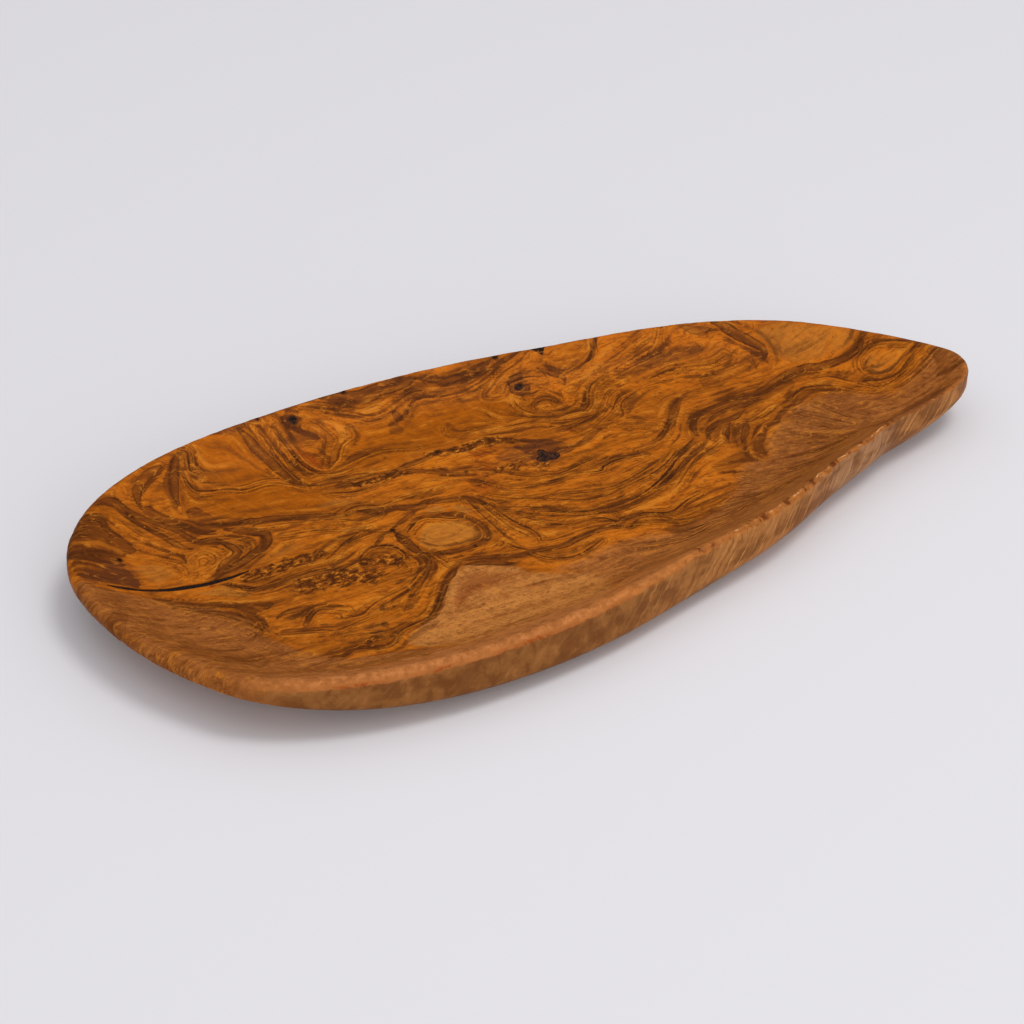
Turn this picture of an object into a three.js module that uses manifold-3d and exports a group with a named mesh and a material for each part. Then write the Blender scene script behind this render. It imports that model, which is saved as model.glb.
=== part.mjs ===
// Serving dish carved from one slab of olive wood. In plan it is a teardrop with a broad end, a blunt tip and
// a live edge along the near side. It stands on a flat base, its ends are undercut like a boat's, and it is
// hollowed to a flat floor with a coved wall. A drying check and a decayed heart in the floor are filled with
// dark resin, and two dead knots are held in the far wall.
import * as THREE from "three";
import { mergeVertices } from "three/addons/utils/BufferGeometryUtils.js";
import Module from "manifold-3d";

// Overall sizes, in millimetres: +X runs to the tip, +Y to the far side, +Z up from the flat base
const LENGTH = 380;
const WIDTH = 184;
const HEIGHT = 25;
const FLOOR_THICKNESS = 12;

// Gap between a filled pocket and what fills it
const CLEARANCE = 0.3;

// Hollows along the live edge, between the near shoulder and the near crown
const LIVE_EDGE_HOLLOWS = 2;
const LIVE_EDGE_DEPTH = 1.8;

// The cove starts level at the lip and ends level on the floor: these shares of its width shape the curve
const COVE_TOP_PULL = 0.13;
const COVE_FLOOR_PULL = 0.55;

// Drying check at the broad end: its centre line, as distances from the broad end and from the middle
const CHECK_LINE = [
  [14, 33],
  [32, 26.3],
  [51.7, 19.7],
  [65, 19.2],
];
const CHECK_WIDTH = 3.6;
const CHECK_END_WIDTH = 1.2;
const CHECK_DEPTH = 4;

// Decayed heart near the middle of the floor
const HEART_X = 13.5;
const HEART_Y = 14;
const HEART_LENGTH = 13;
const HEART_WIDTH = 8;
const HEART_TURN = -24;
const HEART_DEPTH = 5;

// Dead knots in the far wall: each tapers inwards and leans out of the wall towards the near side
const KNOT_TAPER = 0.6;
const KNOT_DEPTH = 6;
const LEFT_KNOT = { diameter: 5, fromFarCrown: 30.6, fromCrownLine: 6.9, height: 21.8, lean: 10 };
const RIGHT_KNOT = { diameter: 4.6, fromFarCrown: 126, fromCrownLine: 32.4, height: 15.6, lean: 30 };

// Facet sizes
const RIM_FACET = 8;
const FEWEST_RIM_STEPS = 4;
const UNDERSIDE_STEPS = 7;
const LIP_STEPS = 5;
const COVE_STEPS = 9;
const CHECK_STEPS = 16;
const ROUND_STEPS = 20;

// Points closer together than this are one point of a solid
const WELD_DISTANCE = 1e-4;

// Stations of the rim, clockwise seen from above. Each has its distance from one end and from one side, its
// heading in degrees and the reach of the curve's handles before and after it. baseInset and floorInset say
// how far in from the rim the flat base and the flat floor begin, and the slides move those points along the
// rim. edge is the height of the upright band, lip its rounding, belly the fullness of the underside (0 is a
// straight slope), and live the share of the live edge's hollows.
const BROAD_END = {
  fromBroadEnd: 0, fromFarSide: 73, heading: 90, before: 30, after: 47,
  baseInset: 32, baseSlide: 0, floorInset: 40, floorSlide: 0,
  edge: 4, lip: 3.2, belly: 0, live: 0,
};
const FAR_CROWN = {
  fromBroadEnd: 96, fromFarSide: 0, heading: 0, before: 59, after: 49,
  baseInset: 24, baseSlide: 0, floorInset: 27, floorSlide: 0,
  edge: 7, lip: 1.2, belly: 0.3, live: 0,
};
const FAR_WAIST = {
  fromTip: 150, fromFarSide: 20.5, heading: -18, before: 40, after: 39,
  baseInset: 20, baseSlide: 0, floorInset: 26, floorSlide: 0,
  edge: 8, lip: 1.2, belly: 0.3, live: 0,
};
const FAR_SHOULDER = {
  fromTip: 38.5, fromFarSide: 70.5, heading: -43, before: 48, after: 19.5,
  baseInset: 30, baseSlide: -10, floorInset: 30, floorSlide: -10,
  edge: 7, lip: 1.2, belly: 0.3, live: 0,
};
const TIP = {
  fromTip: 0, fromNearSide: 53.5, heading: -90, before: 8.5, after: 26,
  baseInset: 44, baseSlide: -4, floorInset: 40, floorSlide: -6,
  edge: 8, lip: 2, belly: 0.3, live: 0,
};
const NEAR_SHOULDER = {
  fromTip: 61, fromNearSide: 28.5, heading: 197.5, before: 12, after: 48,
  baseInset: 17, baseSlide: 8, floorInset: 26, floorSlide: 10,
  edge: 8, lip: 1.5, belly: 0.45, live: 1,
};
const NEAR_CROWN = {
  fromBroadEnd: 150, fromNearSide: 0, heading: 180, before: 70, after: 94,
  baseInset: 11, baseSlide: 0, floorInset: 36, floorSlide: 0,
  edge: 16, lip: 3.5, belly: 0.25, live: 1,
};
const NEAR_CORNER = {
  fromBroadEnd: 16.5, fromNearSide: 46.5, heading: 115, before: 14, after: 20,
  baseInset: 26, baseSlide: 0, floorInset: 37, floorSlide: 0,
  edge: 6, lip: 5, belly: 0, live: 0,
};
const STATIONS = [BROAD_END, FAR_CROWN, FAR_WAIST, FAR_SHOULDER, TIP, NEAR_SHOULDER, NEAR_CROWN, NEAR_CORNER];
const SECTION_KEYS = ["edge", "lip", "belly"];

const wasm = await Module();
wasm.setup();

// Unit vector at an angle in degrees from +X
function directionAt(degrees) {
  const angle = THREE.MathUtils.degToRad(degrees);
  return new THREE.Vector2(Math.cos(angle), Math.sin(angle));
}

// Place of a station in plan, from the end and the side that it is measured from
function placeOf({ fromBroadEnd, fromTip, fromFarSide, fromNearSide }) {
  const x = fromTip === undefined ? fromBroadEnd - LENGTH / 2 : LENGTH / 2 - fromTip;
  const y = fromNearSide === undefined ? WIDTH / 2 - fromFarSide : fromNearSide - WIDTH / 2;
  return new THREE.Vector2(x, y);
}

// Point beside a station, moved in from the rim and along it
function pointBeside(station, inset, slide) {
  const along = directionAt(station.heading);
  const inwards = new THREE.Vector2(along.y, -along.x);
  return placeOf(station).addScaledVector(inwards, inset).addScaledVector(along, slide);
}

// Closed loop of curves through one point for each station, with the rim's headings and the rim's handles
// scaled to the distance between the points
function loopThrough(points, rimPoints) {
  return points.map((start, i) => {
    const next = (i + 1) % points.length;
    const end = points[next];
    const scale = start.distanceTo(end) / rimPoints[i].distanceTo(rimPoints[next]);
    const leave = directionAt(STATIONS[i].heading).multiplyScalar(STATIONS[i].after * scale).add(start);
    const arrive = directionAt(STATIONS[next].heading).multiplyScalar(-STATIONS[next].before * scale).add(end);
    return new THREE.CubicBezierCurve(start, leave, arrive, end);
  });
}

// Columns of the loft, one every facet along the rim: a rim, base and floor point and the section's values
function loftColumns() {
  const rimPoints = STATIONS.map((s) => pointBeside(s, 0, 0));
  const rim = loopThrough(rimPoints, rimPoints);
  const base = loopThrough(STATIONS.map((s) => pointBeside(s, s.baseInset, s.baseSlide)), rimPoints);
  const floor = loopThrough(STATIONS.map((s) => pointBeside(s, s.floorInset, s.floorSlide)), rimPoints);
  const columns = [];
  rim.forEach((curve, i) => {
    const here = STATIONS[i];
    const next = STATIONS[(i + 1) % STATIONS.length];
    const steps = Math.max(FEWEST_RIM_STEPS, Math.round(curve.getLength() / RIM_FACET));
    for (let step = 0; step < steps; step += 1) {
      const t = step / steps;
      const blend = THREE.MathUtils.smoothstep(t, 0, 1);
      const column = { rim: curve.getPoint(t), base: base[i].getPoint(t), floor: floor[i].getPoint(t) };
      for (const key of SECTION_KEYS) {
        column[key] = THREE.MathUtils.lerp(here[key], next[key], blend);
      }
      const hollow = here.live * next.live * LIVE_EDGE_DEPTH * Math.sin(Math.PI * LIVE_EDGE_HOLLOWS * t) ** 2;
      const inwards = column.floor.clone().sub(column.rim).normalize();
      column.rim.addScaledVector(inwards, hollow);
      columns.push(column);
    }
  });
  return columns;
}

// Points of a curve in a column's upright section: distance in from the rim, and height
function sectionCurve(handles, steps) {
  const corners = handles.map(([inset, height]) => new THREE.Vector2(inset, height));
  return new THREE.CubicBezierCurve(...corners).getPoints(steps);
}

// One column of the loft, from the edge of the base up the outside, over the lip and down to the floor
function sectionOf(column) {
  const points = [];
  const place = (towards, profile) => {
    const inwards = towards.clone().sub(column.rim).normalize();
    for (const { x: inset, y: height } of profile) {
      const at = column.rim.clone().addScaledVector(inwards, inset);
      points.push(new THREE.Vector3(at.x, at.y, height));
    }
  };
  const { edge, lip, belly } = column;
  const footHeight = HEIGHT - edge;
  const baseReach = column.rim.distanceTo(column.base);
  const floorReach = column.rim.distanceTo(column.floor);
  const coveWidth = floorReach - lip;
  place(column.base, sectionCurve([
    [baseReach, 0],
    [baseReach * (1 - belly), 0],
    [0, footHeight * (1 - belly)],
    [0, footHeight],
  ], UNDERSIDE_STEPS));
  const lipCurve = new THREE.EllipseCurve(lip, HEIGHT - lip, lip, lip, Math.PI, Math.PI / 2, true);
  place(column.floor, lipCurve.getPoints(LIP_STEPS));
  place(column.floor, sectionCurve([
    [lip, HEIGHT],
    [lip + COVE_TOP_PULL * coveWidth, HEIGHT],
    [floorReach - COVE_FLOOR_PULL * coveWidth, FLOOR_THICKNESS],
    [floorReach, FLOOR_THICKNESS],
  ], COVE_STEPS).slice(1));
  return points;
}

// Closed skin over the columns, with a flat cap on the base and on the floor
function loft(columns) {
  const sections = columns.map(sectionOf);
  const rows = sections[0].length;
  const index = [];
  sections.forEach((_, column) => {
    const here = column * rows;
    const next = ((column + 1) % sections.length) * rows;
    for (let row = 0; row < rows - 1; row += 1) {
      index.push(here + row, here + row + 1, next + row + 1, here + row, next + row + 1, next + row);
    }
  });
  const capRow = (row, upwards) => {
    const outline = sections.map((points) => new THREE.Vector2(points[row].x, points[row].y));
    for (const [a, b, c] of THREE.ShapeUtils.triangulateShape(outline, [])) {
      const [p, q, r] = [a, b, c].map((column) => column * rows + row);
      const turn = outline[b].clone().sub(outline[a]).cross(outline[c].clone().sub(outline[a]));
      index.push(...((turn > 0) === upwards ? [p, q, r] : [p, r, q]));
    }
  };
  capRow(0, false);
  capRow(rows - 1, true);
  const geometry = new THREE.BufferGeometry().setFromPoints(sections.flat());
  geometry.setIndex(index);
  return geometry;
}

// Solid of a closed geometry, for cutting
function solidOf(geometry) {
  const bare = geometry.clone();
  bare.deleteAttribute("normal");
  bare.deleteAttribute("uv");
  const merged = mergeVertices(bare, WELD_DISTANCE);
  const mesh = new wasm.Mesh({
    numProp: 3,
    vertProperties: new Float32Array(merged.attributes.position.array),
    triVerts: new Uint32Array(merged.index.array),
  });
  return new wasm.Manifold(mesh);
}

// Geometry of a solid
function geometryOf(solid) {
  const { vertProperties, triVerts } = solid.getMesh();
  const geometry = new THREE.BufferGeometry();
  geometry.setAttribute("position", new THREE.BufferAttribute(vertProperties, 3));
  geometry.setIndex(new THREE.BufferAttribute(triVerts, 1));
  geometry.computeVertexNormals();
  return geometry;
}

// Pocket in the top face with upright sides, whose bottom follows the face at a depth less a margin
function pocketOf(shape, depth, margin) {
  const options = { depth: HEIGHT + depth, bevelEnabled: false, curveSegments: ROUND_STEPS };
  const through = solidOf(new THREE.ExtrudeGeometry(shape, options));
  const below = solidOf(blankGeometry.clone().translate(0, 0, margin - depth));
  return through.subtract(below);
}

// Drying check: a sliver along its centre line, widest in the middle, drawn in by a margin all round
function checkSliver(margin) {
  const broadEnd = placeOf(BROAD_END).x;
  const places = CHECK_LINE.map(([fromEnd, y]) => new THREE.Vector2(broadEnd + fromEnd, y));
  const line = new THREE.SplineCurve(places);
  const endTrim = margin / line.getLength();
  const sides = [[], []];
  for (let step = 0; step <= CHECK_STEPS; step += 1) {
    const t = THREE.MathUtils.lerp(endTrim, 1 - endTrim, step / CHECK_STEPS);
    const width = THREE.MathUtils.lerp(CHECK_END_WIDTH, CHECK_WIDTH, Math.sin(Math.PI * t));
    const along = line.getTangentAt(t);
    const across = new THREE.Vector2(-along.y, along.x);
    const centre = line.getPointAt(t);
    sides[0].push(centre.clone().addScaledVector(across, width / 2 - margin));
    sides[1].unshift(centre.clone().addScaledVector(across, margin - width / 2));
  }
  return pocketOf(new THREE.Shape(sides.flat()), CHECK_DEPTH, margin);
}

// Decayed heart: an oval in the floor, drawn in by a margin all round
function heartOval(margin) {
  const shape = new THREE.Shape();
  const turn = THREE.MathUtils.degToRad(HEART_TURN);
  const [across, down] = [HEART_LENGTH / 2 - margin, HEART_WIDTH / 2 - margin];
  shape.absellipse(HEART_X, HEART_Y, across, down, 0, 2 * Math.PI, false, turn);
  return pocketOf(shape, HEART_DEPTH, margin);
}

// Dead knot: a cone that leans out of the far wall and tapers inwards, drawn in by a margin all round
function knotCone(knot, margin) {
  const length = 2 * KNOT_DEPTH;
  const inner = (knot.diameter / 2) * KNOT_TAPER;
  const outer = knot.diameter - inner;
  const cone = new THREE.CylinderGeometry(outer - margin, inner - margin, length - margin, ROUND_STEPS);
  cone.rotateX(Math.PI / 2).translate(0, 0, margin / 2);
  cone.rotateX(THREE.MathUtils.degToRad(knot.lean));
  const crown = placeOf(FAR_CROWN);
  cone.translate(crown.x + knot.fromFarCrown, crown.y - knot.fromCrownLine, knot.height);
  return solidOf(cone);
}

// Named mesh with its own material
function named(name, solid, color, roughness) {
  const material = new THREE.MeshStandardMaterial({ color, roughness, metalness: 0 });
  const mesh = new THREE.Mesh(geometryOf(solid), material);
  mesh.name = name;
  return mesh;
}

const FILLINGS = [
  { name: "check_filler", cut: checkSliver, color: 0x1b1714, roughness: 0.25 },
  { name: "heart_filler", cut: heartOval, color: 0x1d1512, roughness: 0.3 },
  { name: "dead_knot_left", cut: (margin) => knotCone(LEFT_KNOT, margin), color: 0x2a1a10, roughness: 0.45 },
  { name: "dead_knot_right", cut: (margin) => knotCone(RIGHT_KNOT, margin), color: 0x2f1d12, roughness: 0.45 },
];

const blankGeometry = loft(loftColumns());
const blank = solidOf(blankGeometry);
const dish = new THREE.Group();
const pocketed = FILLINGS.reduce((solid, filling) => solid.subtract(filling.cut(0)), blank);
dish.add(named("board", pocketed, 0x9a5518, 0.4));
for (const { name, cut, color, roughness } of FILLINGS) {
  dish.add(named(name, blank.intersect(cut(CLEARANCE)), color, roughness));
}

export default dish;
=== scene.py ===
# Teardrop serving dish of olive wood: the looks of every surface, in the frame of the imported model
import math
from typing import NamedTuple

import bpy
import numpy as np
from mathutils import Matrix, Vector, noise
from mathutils.bvhtree import BVHTree
from mathutils.geometry import delaunay_2d_cdt


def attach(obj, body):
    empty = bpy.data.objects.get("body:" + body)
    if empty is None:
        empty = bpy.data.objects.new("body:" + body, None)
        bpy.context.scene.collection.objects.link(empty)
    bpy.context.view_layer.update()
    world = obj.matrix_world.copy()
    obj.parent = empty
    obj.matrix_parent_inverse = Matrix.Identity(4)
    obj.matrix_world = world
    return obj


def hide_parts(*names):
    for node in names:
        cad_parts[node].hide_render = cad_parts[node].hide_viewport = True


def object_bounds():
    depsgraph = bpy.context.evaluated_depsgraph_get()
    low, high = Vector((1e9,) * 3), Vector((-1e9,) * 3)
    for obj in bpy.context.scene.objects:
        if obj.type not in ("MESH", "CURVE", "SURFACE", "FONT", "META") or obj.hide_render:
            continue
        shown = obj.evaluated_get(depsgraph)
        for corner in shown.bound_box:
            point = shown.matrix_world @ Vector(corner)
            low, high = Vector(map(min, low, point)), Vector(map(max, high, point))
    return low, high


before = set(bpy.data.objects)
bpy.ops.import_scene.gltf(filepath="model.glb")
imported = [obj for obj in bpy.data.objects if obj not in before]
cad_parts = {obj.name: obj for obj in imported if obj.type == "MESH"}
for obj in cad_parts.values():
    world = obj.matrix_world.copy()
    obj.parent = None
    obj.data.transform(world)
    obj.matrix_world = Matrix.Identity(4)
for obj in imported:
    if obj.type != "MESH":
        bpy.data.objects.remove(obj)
CAD_LOW, CAD_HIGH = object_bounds()

# Overall sizes in millimetres, from the frame: +X runs to the tip, +Y to the far side, +Z up from the base
MM = 0.001
LENGTH, WIDTH, HEIGHT = (CAD_HIGH - CAD_LOW) / MM
END = LENGTH / 2
SIDE = WIDTH / 2
FLOOR_THICKNESS = 12
LIVE_EDGE_HOLLOWS = 2
LIVE_EDGE_DEPTH = 1.8
COVE_TOP_PULL = 0.13
COVE_FLOOR_PULL = 0.55

# Mesh spacing, and how much longer the rim is than its chords
RIM_STEP = 0.95
RIM_STRETCH = 1.03
FLOOR_STEP = 0.95
BASE_STEP = 2.5
LATTICE_CLEAR = 0.6
UNDERSIDE_ROWS = 11
BAND_ROWS = 4
LIP_ROWS = 8
COVE_ROWS = 34
SHARP_ANGLE = math.radians(38)

# Mesh limits: shortest length that is told from none, and how a flat face is filled with triangles
TINY = 1e-9
FILL_INSIDE = 1
FILL_CLOSE = 1e-6

# Plan for baking: room round the dish, and where the underside and the top start
BAKE_ROOM = 1.02
BAKE_UNDER = (0.01, 0.005)
BAKE_TOP = (0.01, 0.5)


class Station(NamedTuple):
    """Place on the rim, as in the model's source: where it lies, how the rim runs there and its section."""

    x: float
    y: float
    heading: float
    before: float
    after: float
    base_inset: float
    base_slide: float
    floor_inset: float
    floor_slide: float
    edge: float
    lip: float
    belly: float
    live: float


BROAD_END = Station(-END, SIDE - 73, 90, 30, 47, 32, 0, 40, 0, 4, 3.2, 0, 0)
FAR_CROWN = Station(96 - END, SIDE, 0, 59, 49, 24, 0, 27, 0, 7, 1.2, 0.3, 0)
FAR_WAIST = Station(END - 150, SIDE - 20.5, -18, 40, 39, 20, 0, 26, 0, 8, 1.2, 0.3, 0)
FAR_SHOULDER = Station(END - 38.5, SIDE - 70.5, -43, 48, 19.5, 30, -10, 30, -10, 7, 1.2, 0.3, 0)
TIP = Station(END, 53.5 - SIDE, -90, 8.5, 26, 44, -4, 40, -6, 8, 2, 0.3, 0)
NEAR_SHOULDER = Station(END - 61, 28.5 - SIDE, 197.5, 12, 48, 17, 8, 26, 10, 8, 1.5, 0.45, 1)
NEAR_CROWN = Station(150 - END, -SIDE, 180, 70, 94, 11, 0, 36, 0, 16, 3.5, 0.25, 1)
NEAR_CORNER = Station(16.5 - END, 46.5 - SIDE, 115, 14, 20, 26, 0, 37, 0, 6, 5, 0, 0)
STATIONS = (BROAD_END, FAR_CROWN, FAR_WAIST, FAR_SHOULDER, TIP, NEAR_SHOULDER, NEAR_CROWN, NEAR_CORNER)

# Wear of the rim, inwards only, with the share of it that a plain rim has
EDGE_WEAR = 1.1
EDGE_WEAR_LENGTH = 7.0
EDGE_WEAR_REACH = 5.0
EDGE_WEAR_DROP = 0.5
EDGE_WEAR_BIAS = 0.35
EDGE_WEAR_PLAIN = 0.25

# Fractal noise of worn edges and sunken tops: loss of strength and growth of detail per layer, and layers
WEAR_NOISE = (0.7, 2.1, 3)
SINK_NOISE = (0.8, 2.1, 3)

# Flaws in the top: outlines follow the photographed shapes inside the model's pockets
POCKET_GAP = 0.15
FILLING_DEPTH = 3.5
FILLING_SINK = 0.18
SINK_LEAST = 0.4
SINK_SCALE = 0.5
TOP_FACING = 0.1
RAGGED = 0.14
RAGGED_SCALE = 0.9
CHECK_LINE = ((-176.5, 31.4), (-170, 30), (-164, 28.2), (-158, 26.3), (-150, 23.5), (-143.5, 21),
              (-138, 19.6), (-131, 18.6), (-124.5, 18.4))
CHECK_WIDTHS = (0.4, 0.8, 0.6, 0.8, 1.1, 1.0, 1.0, 0.7, 0.3)
CHECK_STEP = 1.2
HEART_OUTLINE = ((8.2, 14.6), (9.6, 16.4), (11.2, 17.2), (11.8, 19.4), (13.4, 20.6), (14.8, 19.6), (15, 17.2),
                 (16.8, 15.8), (18.4, 13.6), (17.2, 11.6), (14.6, 11), (12.6, 12.2), (10.4, 12))
KNOT_LEFT = (-63.4, 85.1, 2.3, 1.7)
KNOT_RIGHT = (31.9, 59.7, 2.3, 1.5)
KNOT_CORNERS = 28

# How far the cutters stand over the rim, and the height from which the surface is probed
CUTTER_RISE = 5
PROBE_HEIGHT = 1000

# Stage: plain floor, soft light and the photograph's camera, in metres
STAGE_REACH = 6
LIGHT_SIDE = Vector((-0.06, -0.28, 0.96))
SKY = ((0.0, 0.04), (0.46, 0.09), (0.74, 0.54), (1.0, 1.02))
SKY_TINT = (1.0, 0.995, 1.03)
SOFT_BOXES = (("overhead", (0.8, -0.9, 3.4), 1.3, 33.0), ("front", (-0.2, -2.1, 0.6), 1.5, 14.0))
CAMERA_PLACE = (-0.4545, -0.6048, 0.5279)
CAMERA_AIM = (-0.0113, 0.0051, 0.0)
CAMERA_LENS = 80.86
CAMERA_SENSOR = 36.0

# Reach of a growth line's tint and of its blended distance, and least half width of a band
RING_REACH = 16.0
RING_BLEND = 0.35
BAND_WIDTH = 1.15
BAND_REACH = 4.0
TAPER_LENGTH = 7.0
TAPER_LEAST = 0.3
SHADE_REACH = 3.5
SHADE_EDGE = 0.9

# The figure runs aside on its way down the outside, which faces away from the slab's axis
FIGURE_LEAN = (0.5, 0.9)
SLAB_AXIS = ((-100, 10), (140, -22))
OUTWARD_LEAST = 2.0
RIM_BAND = 4

# Streaks of the grain: how far a vein turns it, and seed, size of spots and reach of each kind
GRAIN_BEND = 5.0
GRAIN_AXIS = (0.98, -0.17)
GRAIN_AXIS_PULL = 0.12
GRAIN_MARGIN = 30.0
GRAIN_STEP = 1.0
GRAIN_LINE_STEP = 2.0
STREAKS = {"streak": (11, 1.3, 7), "strand": (12, 3.2, 22)}

# Where the wood's looks change: each pair runs from none of a look to all of it, and single values are
# heights, drops below the rim or lengths of a fade
NEAR_PART = (0, -30)
NEAR_SLOPE = -0.25
LEFT_PART = (40, -60)
BROAD_SHADE = (-85, -140)
RIGHT_SHADE_START = (45, 85)
RIGHT_SHADE_END = (150, 135)
RIGHT_SHADE_FAR = (34, 18)
LIP_START = 24.2
LIP_DROP_LEFT = -8.5
LIP_FADE = 2.5
OUTER_LIP = (0, 0.5)
# Painted light in the near cove on the right: heights it rises over, drop inside the rim and where it ends
COVE_RISE = (13.5, 19)
COVE_INSIDE = (0.3, 0)
COVE_END = (150, 120)
ROLL_SHADE = (0.2, 1.2)
ROLL_DROP = (0.8, 1.8)
GREY_START = (60, 95)
GREY_END = (145, 120)
GREY_RISE = (6, 14)
WALL_START = 0.3
WALL_DROP_LEFT = 1.7
WALL_FADE = 0.9
CREST_RISE = (23, 24.8)
CREST_DROP = (6, 1)
SHARP_END = (150, 125)
HEART_SIDE = (-40, -10)

# Figure of the wood, on the plan: dark growth lines as half width, ink and points
TONGUE_VEINS = (
    (1.4, 0.8, ((-158.9, 73.8), (-152, 73.4), (-147.8, 67.5), (-140.5, 57.1), (-137.2, 46.3), (-134.5, 43))),
    (1.5, 0.9, ((-158.2, 75.5), (-149.7, 74.8), (-147, 70.9), (-134.7, 59.4), (-132, 48.6), (-129.3, 45.5),
        (-125, 43.2), (-121.2, 33.2), (-122.8, 29.8), (-128.2, 28.2), (-132, 25.5), (-136, 24))),
    (1.6, 0.85, ((-174, 65.5), (-166, 68), (-160, 68), (-159.5, 63), (-154, 55))),
    (0.7, 0.6, ((-170, 70), (-159, 69.8))),
    (0.7, 0.55, ((-175, 63), (-169, 65), (-163, 65))),
    (2, 0.75, ((-141, 71), (-140, 76), (-136, 80), (-130, 83), (-124, 84.5))),
    (2.2, 0.8, ((-125.5, 70), (-124, 76), (-118, 85), (-114, 87.5))),
    (0.8, 0.9, ((-111, 79.5), (-113.5, 81.5), (-111, 87), (-113, 88.5))),
    (0.7, 0.8, ((-116.5, 81), (-116.5, 76), (-114.5, 73), (-104, 69.5), (-98, 66), (-88, 64.5), (-81, 57.5),
        (-79, 54))),
    (2.4, 0.85, ((-118, 47), (-109, 37.5), (-107.5, 34.5), (-113, 28), (-135, 22))),
    (0.7, 0.55, ((-126, 44), (-121, 41), (-117, 37), (-115.5, 33), (-117, 29.5), (-122, 27))),
    (0.8, 0.55, ((-140, 35), (-139, 37.5), (-136, 39), (-131.5, 38.3), (-130, 34.5), (-131.5, 31),
        (-135, 29.5))),
    (0.6, 0.4, ((-138, 32), (-136, 35.5), (-133.5, 35), (-133.5, 32.5), (-136, 31))),
    (0.7, 0.45, ((-147, 43), (-144, 39), (-142.5, 34), (-143.5, 29.5))),
    (0.6, 0.4, ((-152, 66), (-141, 48))),
)
FAR_LEFT_VEINS = (
    (2.4, 0.8, ((-86.5, 89), (-80, 70), (-79, 58), (-77, 54))),
    (0.7, 0.7, ((-79, 86), (-77.5, 79), (-76.5, 59))),
    (1.8, 0.6, ((-77, 54), (-72, 52), (-66, 51), (-50, 45))),
    (0.8, 0.75, ((-73, 84), (-71.5, 78), (-70, 65), (-69, 60), (-66, 57))),
    (0.7, 0.6, ((-62, 69), (-59.5, 66.5), (-61, 63))),
    (0.7, 0.7, ((-62, 59.5), (-57, 62.5), (-50.5, 69.5), (-44, 71.5), (-43.5, 74))),
    (0.6, 0.45, ((-58, 85), (-53, 80.5), (-50, 73), (-54, 69.5))),
    (0.9, 0.55, ((-61, 56.5), (-52, 58), (-39, 58), (-27, 51.5))),
    (0.7, 0.65, ((-71, 59), (-66, 57), (-63, 54.5), (-57, 54))),
    (0.6, 0.4, ((-75, 82), (-73.5, 68), (-73.5, 61), (-71.5, 56))),
    (2.4, 0.85, ((-48, 88), (-33, 83), (-25, 82.5), (-7, 80))),
    (1, 0.65, ((-58, 88.5), (-40, 80.5), (-30, 75.5), (-12, 76.5), (-7, 75.5))),
    (0.6, 0.45, ((-52, 88), (-40, 82.5), (-35, 79.5), (-28, 78.5), (-18, 79))),
    (0.8, 0.6, ((-17, 70.5), (-15, 72.5), (-11, 73.8), (-6, 72.5), (10, 68.5), (37, 69.7))),
)
MIDDLE_VEINS = (
    (2.2, 0.75, ((-113, 49), (-105, 44.5), (-98, 41.5), (-75, 27.5))),
    (0.8, 0.65, ((-107, 41), (-82, 29), (-74, 22), (-69, 20.5), (-64, 21))),
    (0.7, 0.75, ((-102, 30), (-90, 25.5), (-80, 19), (-71, 10.5), (-67, 8))),
    (0.6, 0.7, ((-77, 29), (-70, 30.5), (-64, 28), (-61, 25.2), (-52, 25), (-40, 23.5))),
    (0.8, 0.8, ((-72, 44), (-60, 38.5), (-43, 41))),
    (1.6, 0.65, ((-42, 41), (-37, 38.5), (-28, 30), (-25, 26), (-20, 24))),
    (1.4, 0.75, ((-43, 43), (-28, 42.5), (-22, 43.5), (-15, 41), (-12, 39), (-8, 38.5), (-3, 39.3),
        (7, 34.5), (11, 31))),
    (0.7, 0.55, ((-70, 48), (-64, 46.5), (-58, 43.5), (-52, 42))),
    (1.9, 0.75, ((-70, 27), (-62, 22), (-57, 20.5), (-49, 16), (-44, 17), (-41, 16))),
    (1.2, 0.75, ((-66, 9), (-52, 14), (-48, 13))),
    (0.8, 0.75, ((-102, 7.8), (-95, 8), (-84, 13), (-74, 15.5))),
    (0.7, 0.55, ((-92, 9), (-86, 11.5), (-74, 11.5), (-70, 10))),
    (1, 0.8, ((-97, -1.5), (-89, -1), (-82, 3), (-78, 3.5), (-72, 0), (-70.5, -7), (-72.5, -10.5),
        (-76, -13))),
    (0.6, 0.6, ((-87, -5), (-83, -1), (-80, -0.3), (-77, -2), (-75.5, -5), (-77, -8), (-81, -9))),
    (0.5, 0.55, ((-84, -4), (-81, -2.4), (-78.5, -4), (-79.5, -6))),
    (1.2, 0.85, ((-77, 3.5), (-72, 7), (-68, 8.5))),
    (2.2, 0.85, ((-66, 8), (-66, -8), (-63.5, -12))),
    (1.5, 0.85, ((-65, -11), (-60, -15), (-50, -18), (-40, -17.5), (-36, -10), (-39, 2), (-46, 7))),
    (1, 0.8, ((-62, 4), (-52, 8.5), (-42, 0.5))),
    (1.6, 0.75, ((-44, 15), (-33, 11), (-30, 9), (-24.5, -2))),
    (0.6, 0.6, ((-31, 8), (-33, -16))),
    (0.7, 0.7, ((-28, 3), (-28, -14), (-25.5, -26))),
    (0.8, 0.7, ((-25.5, 0), (-24.5, -15), (-22.5, -21), (-22, -27), (-23.5, -31))),
    (0.8, 0.65, ((-24, -3), (-15, -9), (-7, -16))),
    (0.8, 0.7, ((-20, -14), (-14, -23), (-9, -28))),
    (0.6, 0.55, ((-21, 4), (-12, -4), (0, -9))),
    (0.6, 0.5, ((-19, 17), (-12, 6), (-1, 1))),
    (0.6, 0.5, ((-14, 24), (-10, 17), (-1, 7), (4, 4))),
)
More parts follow.
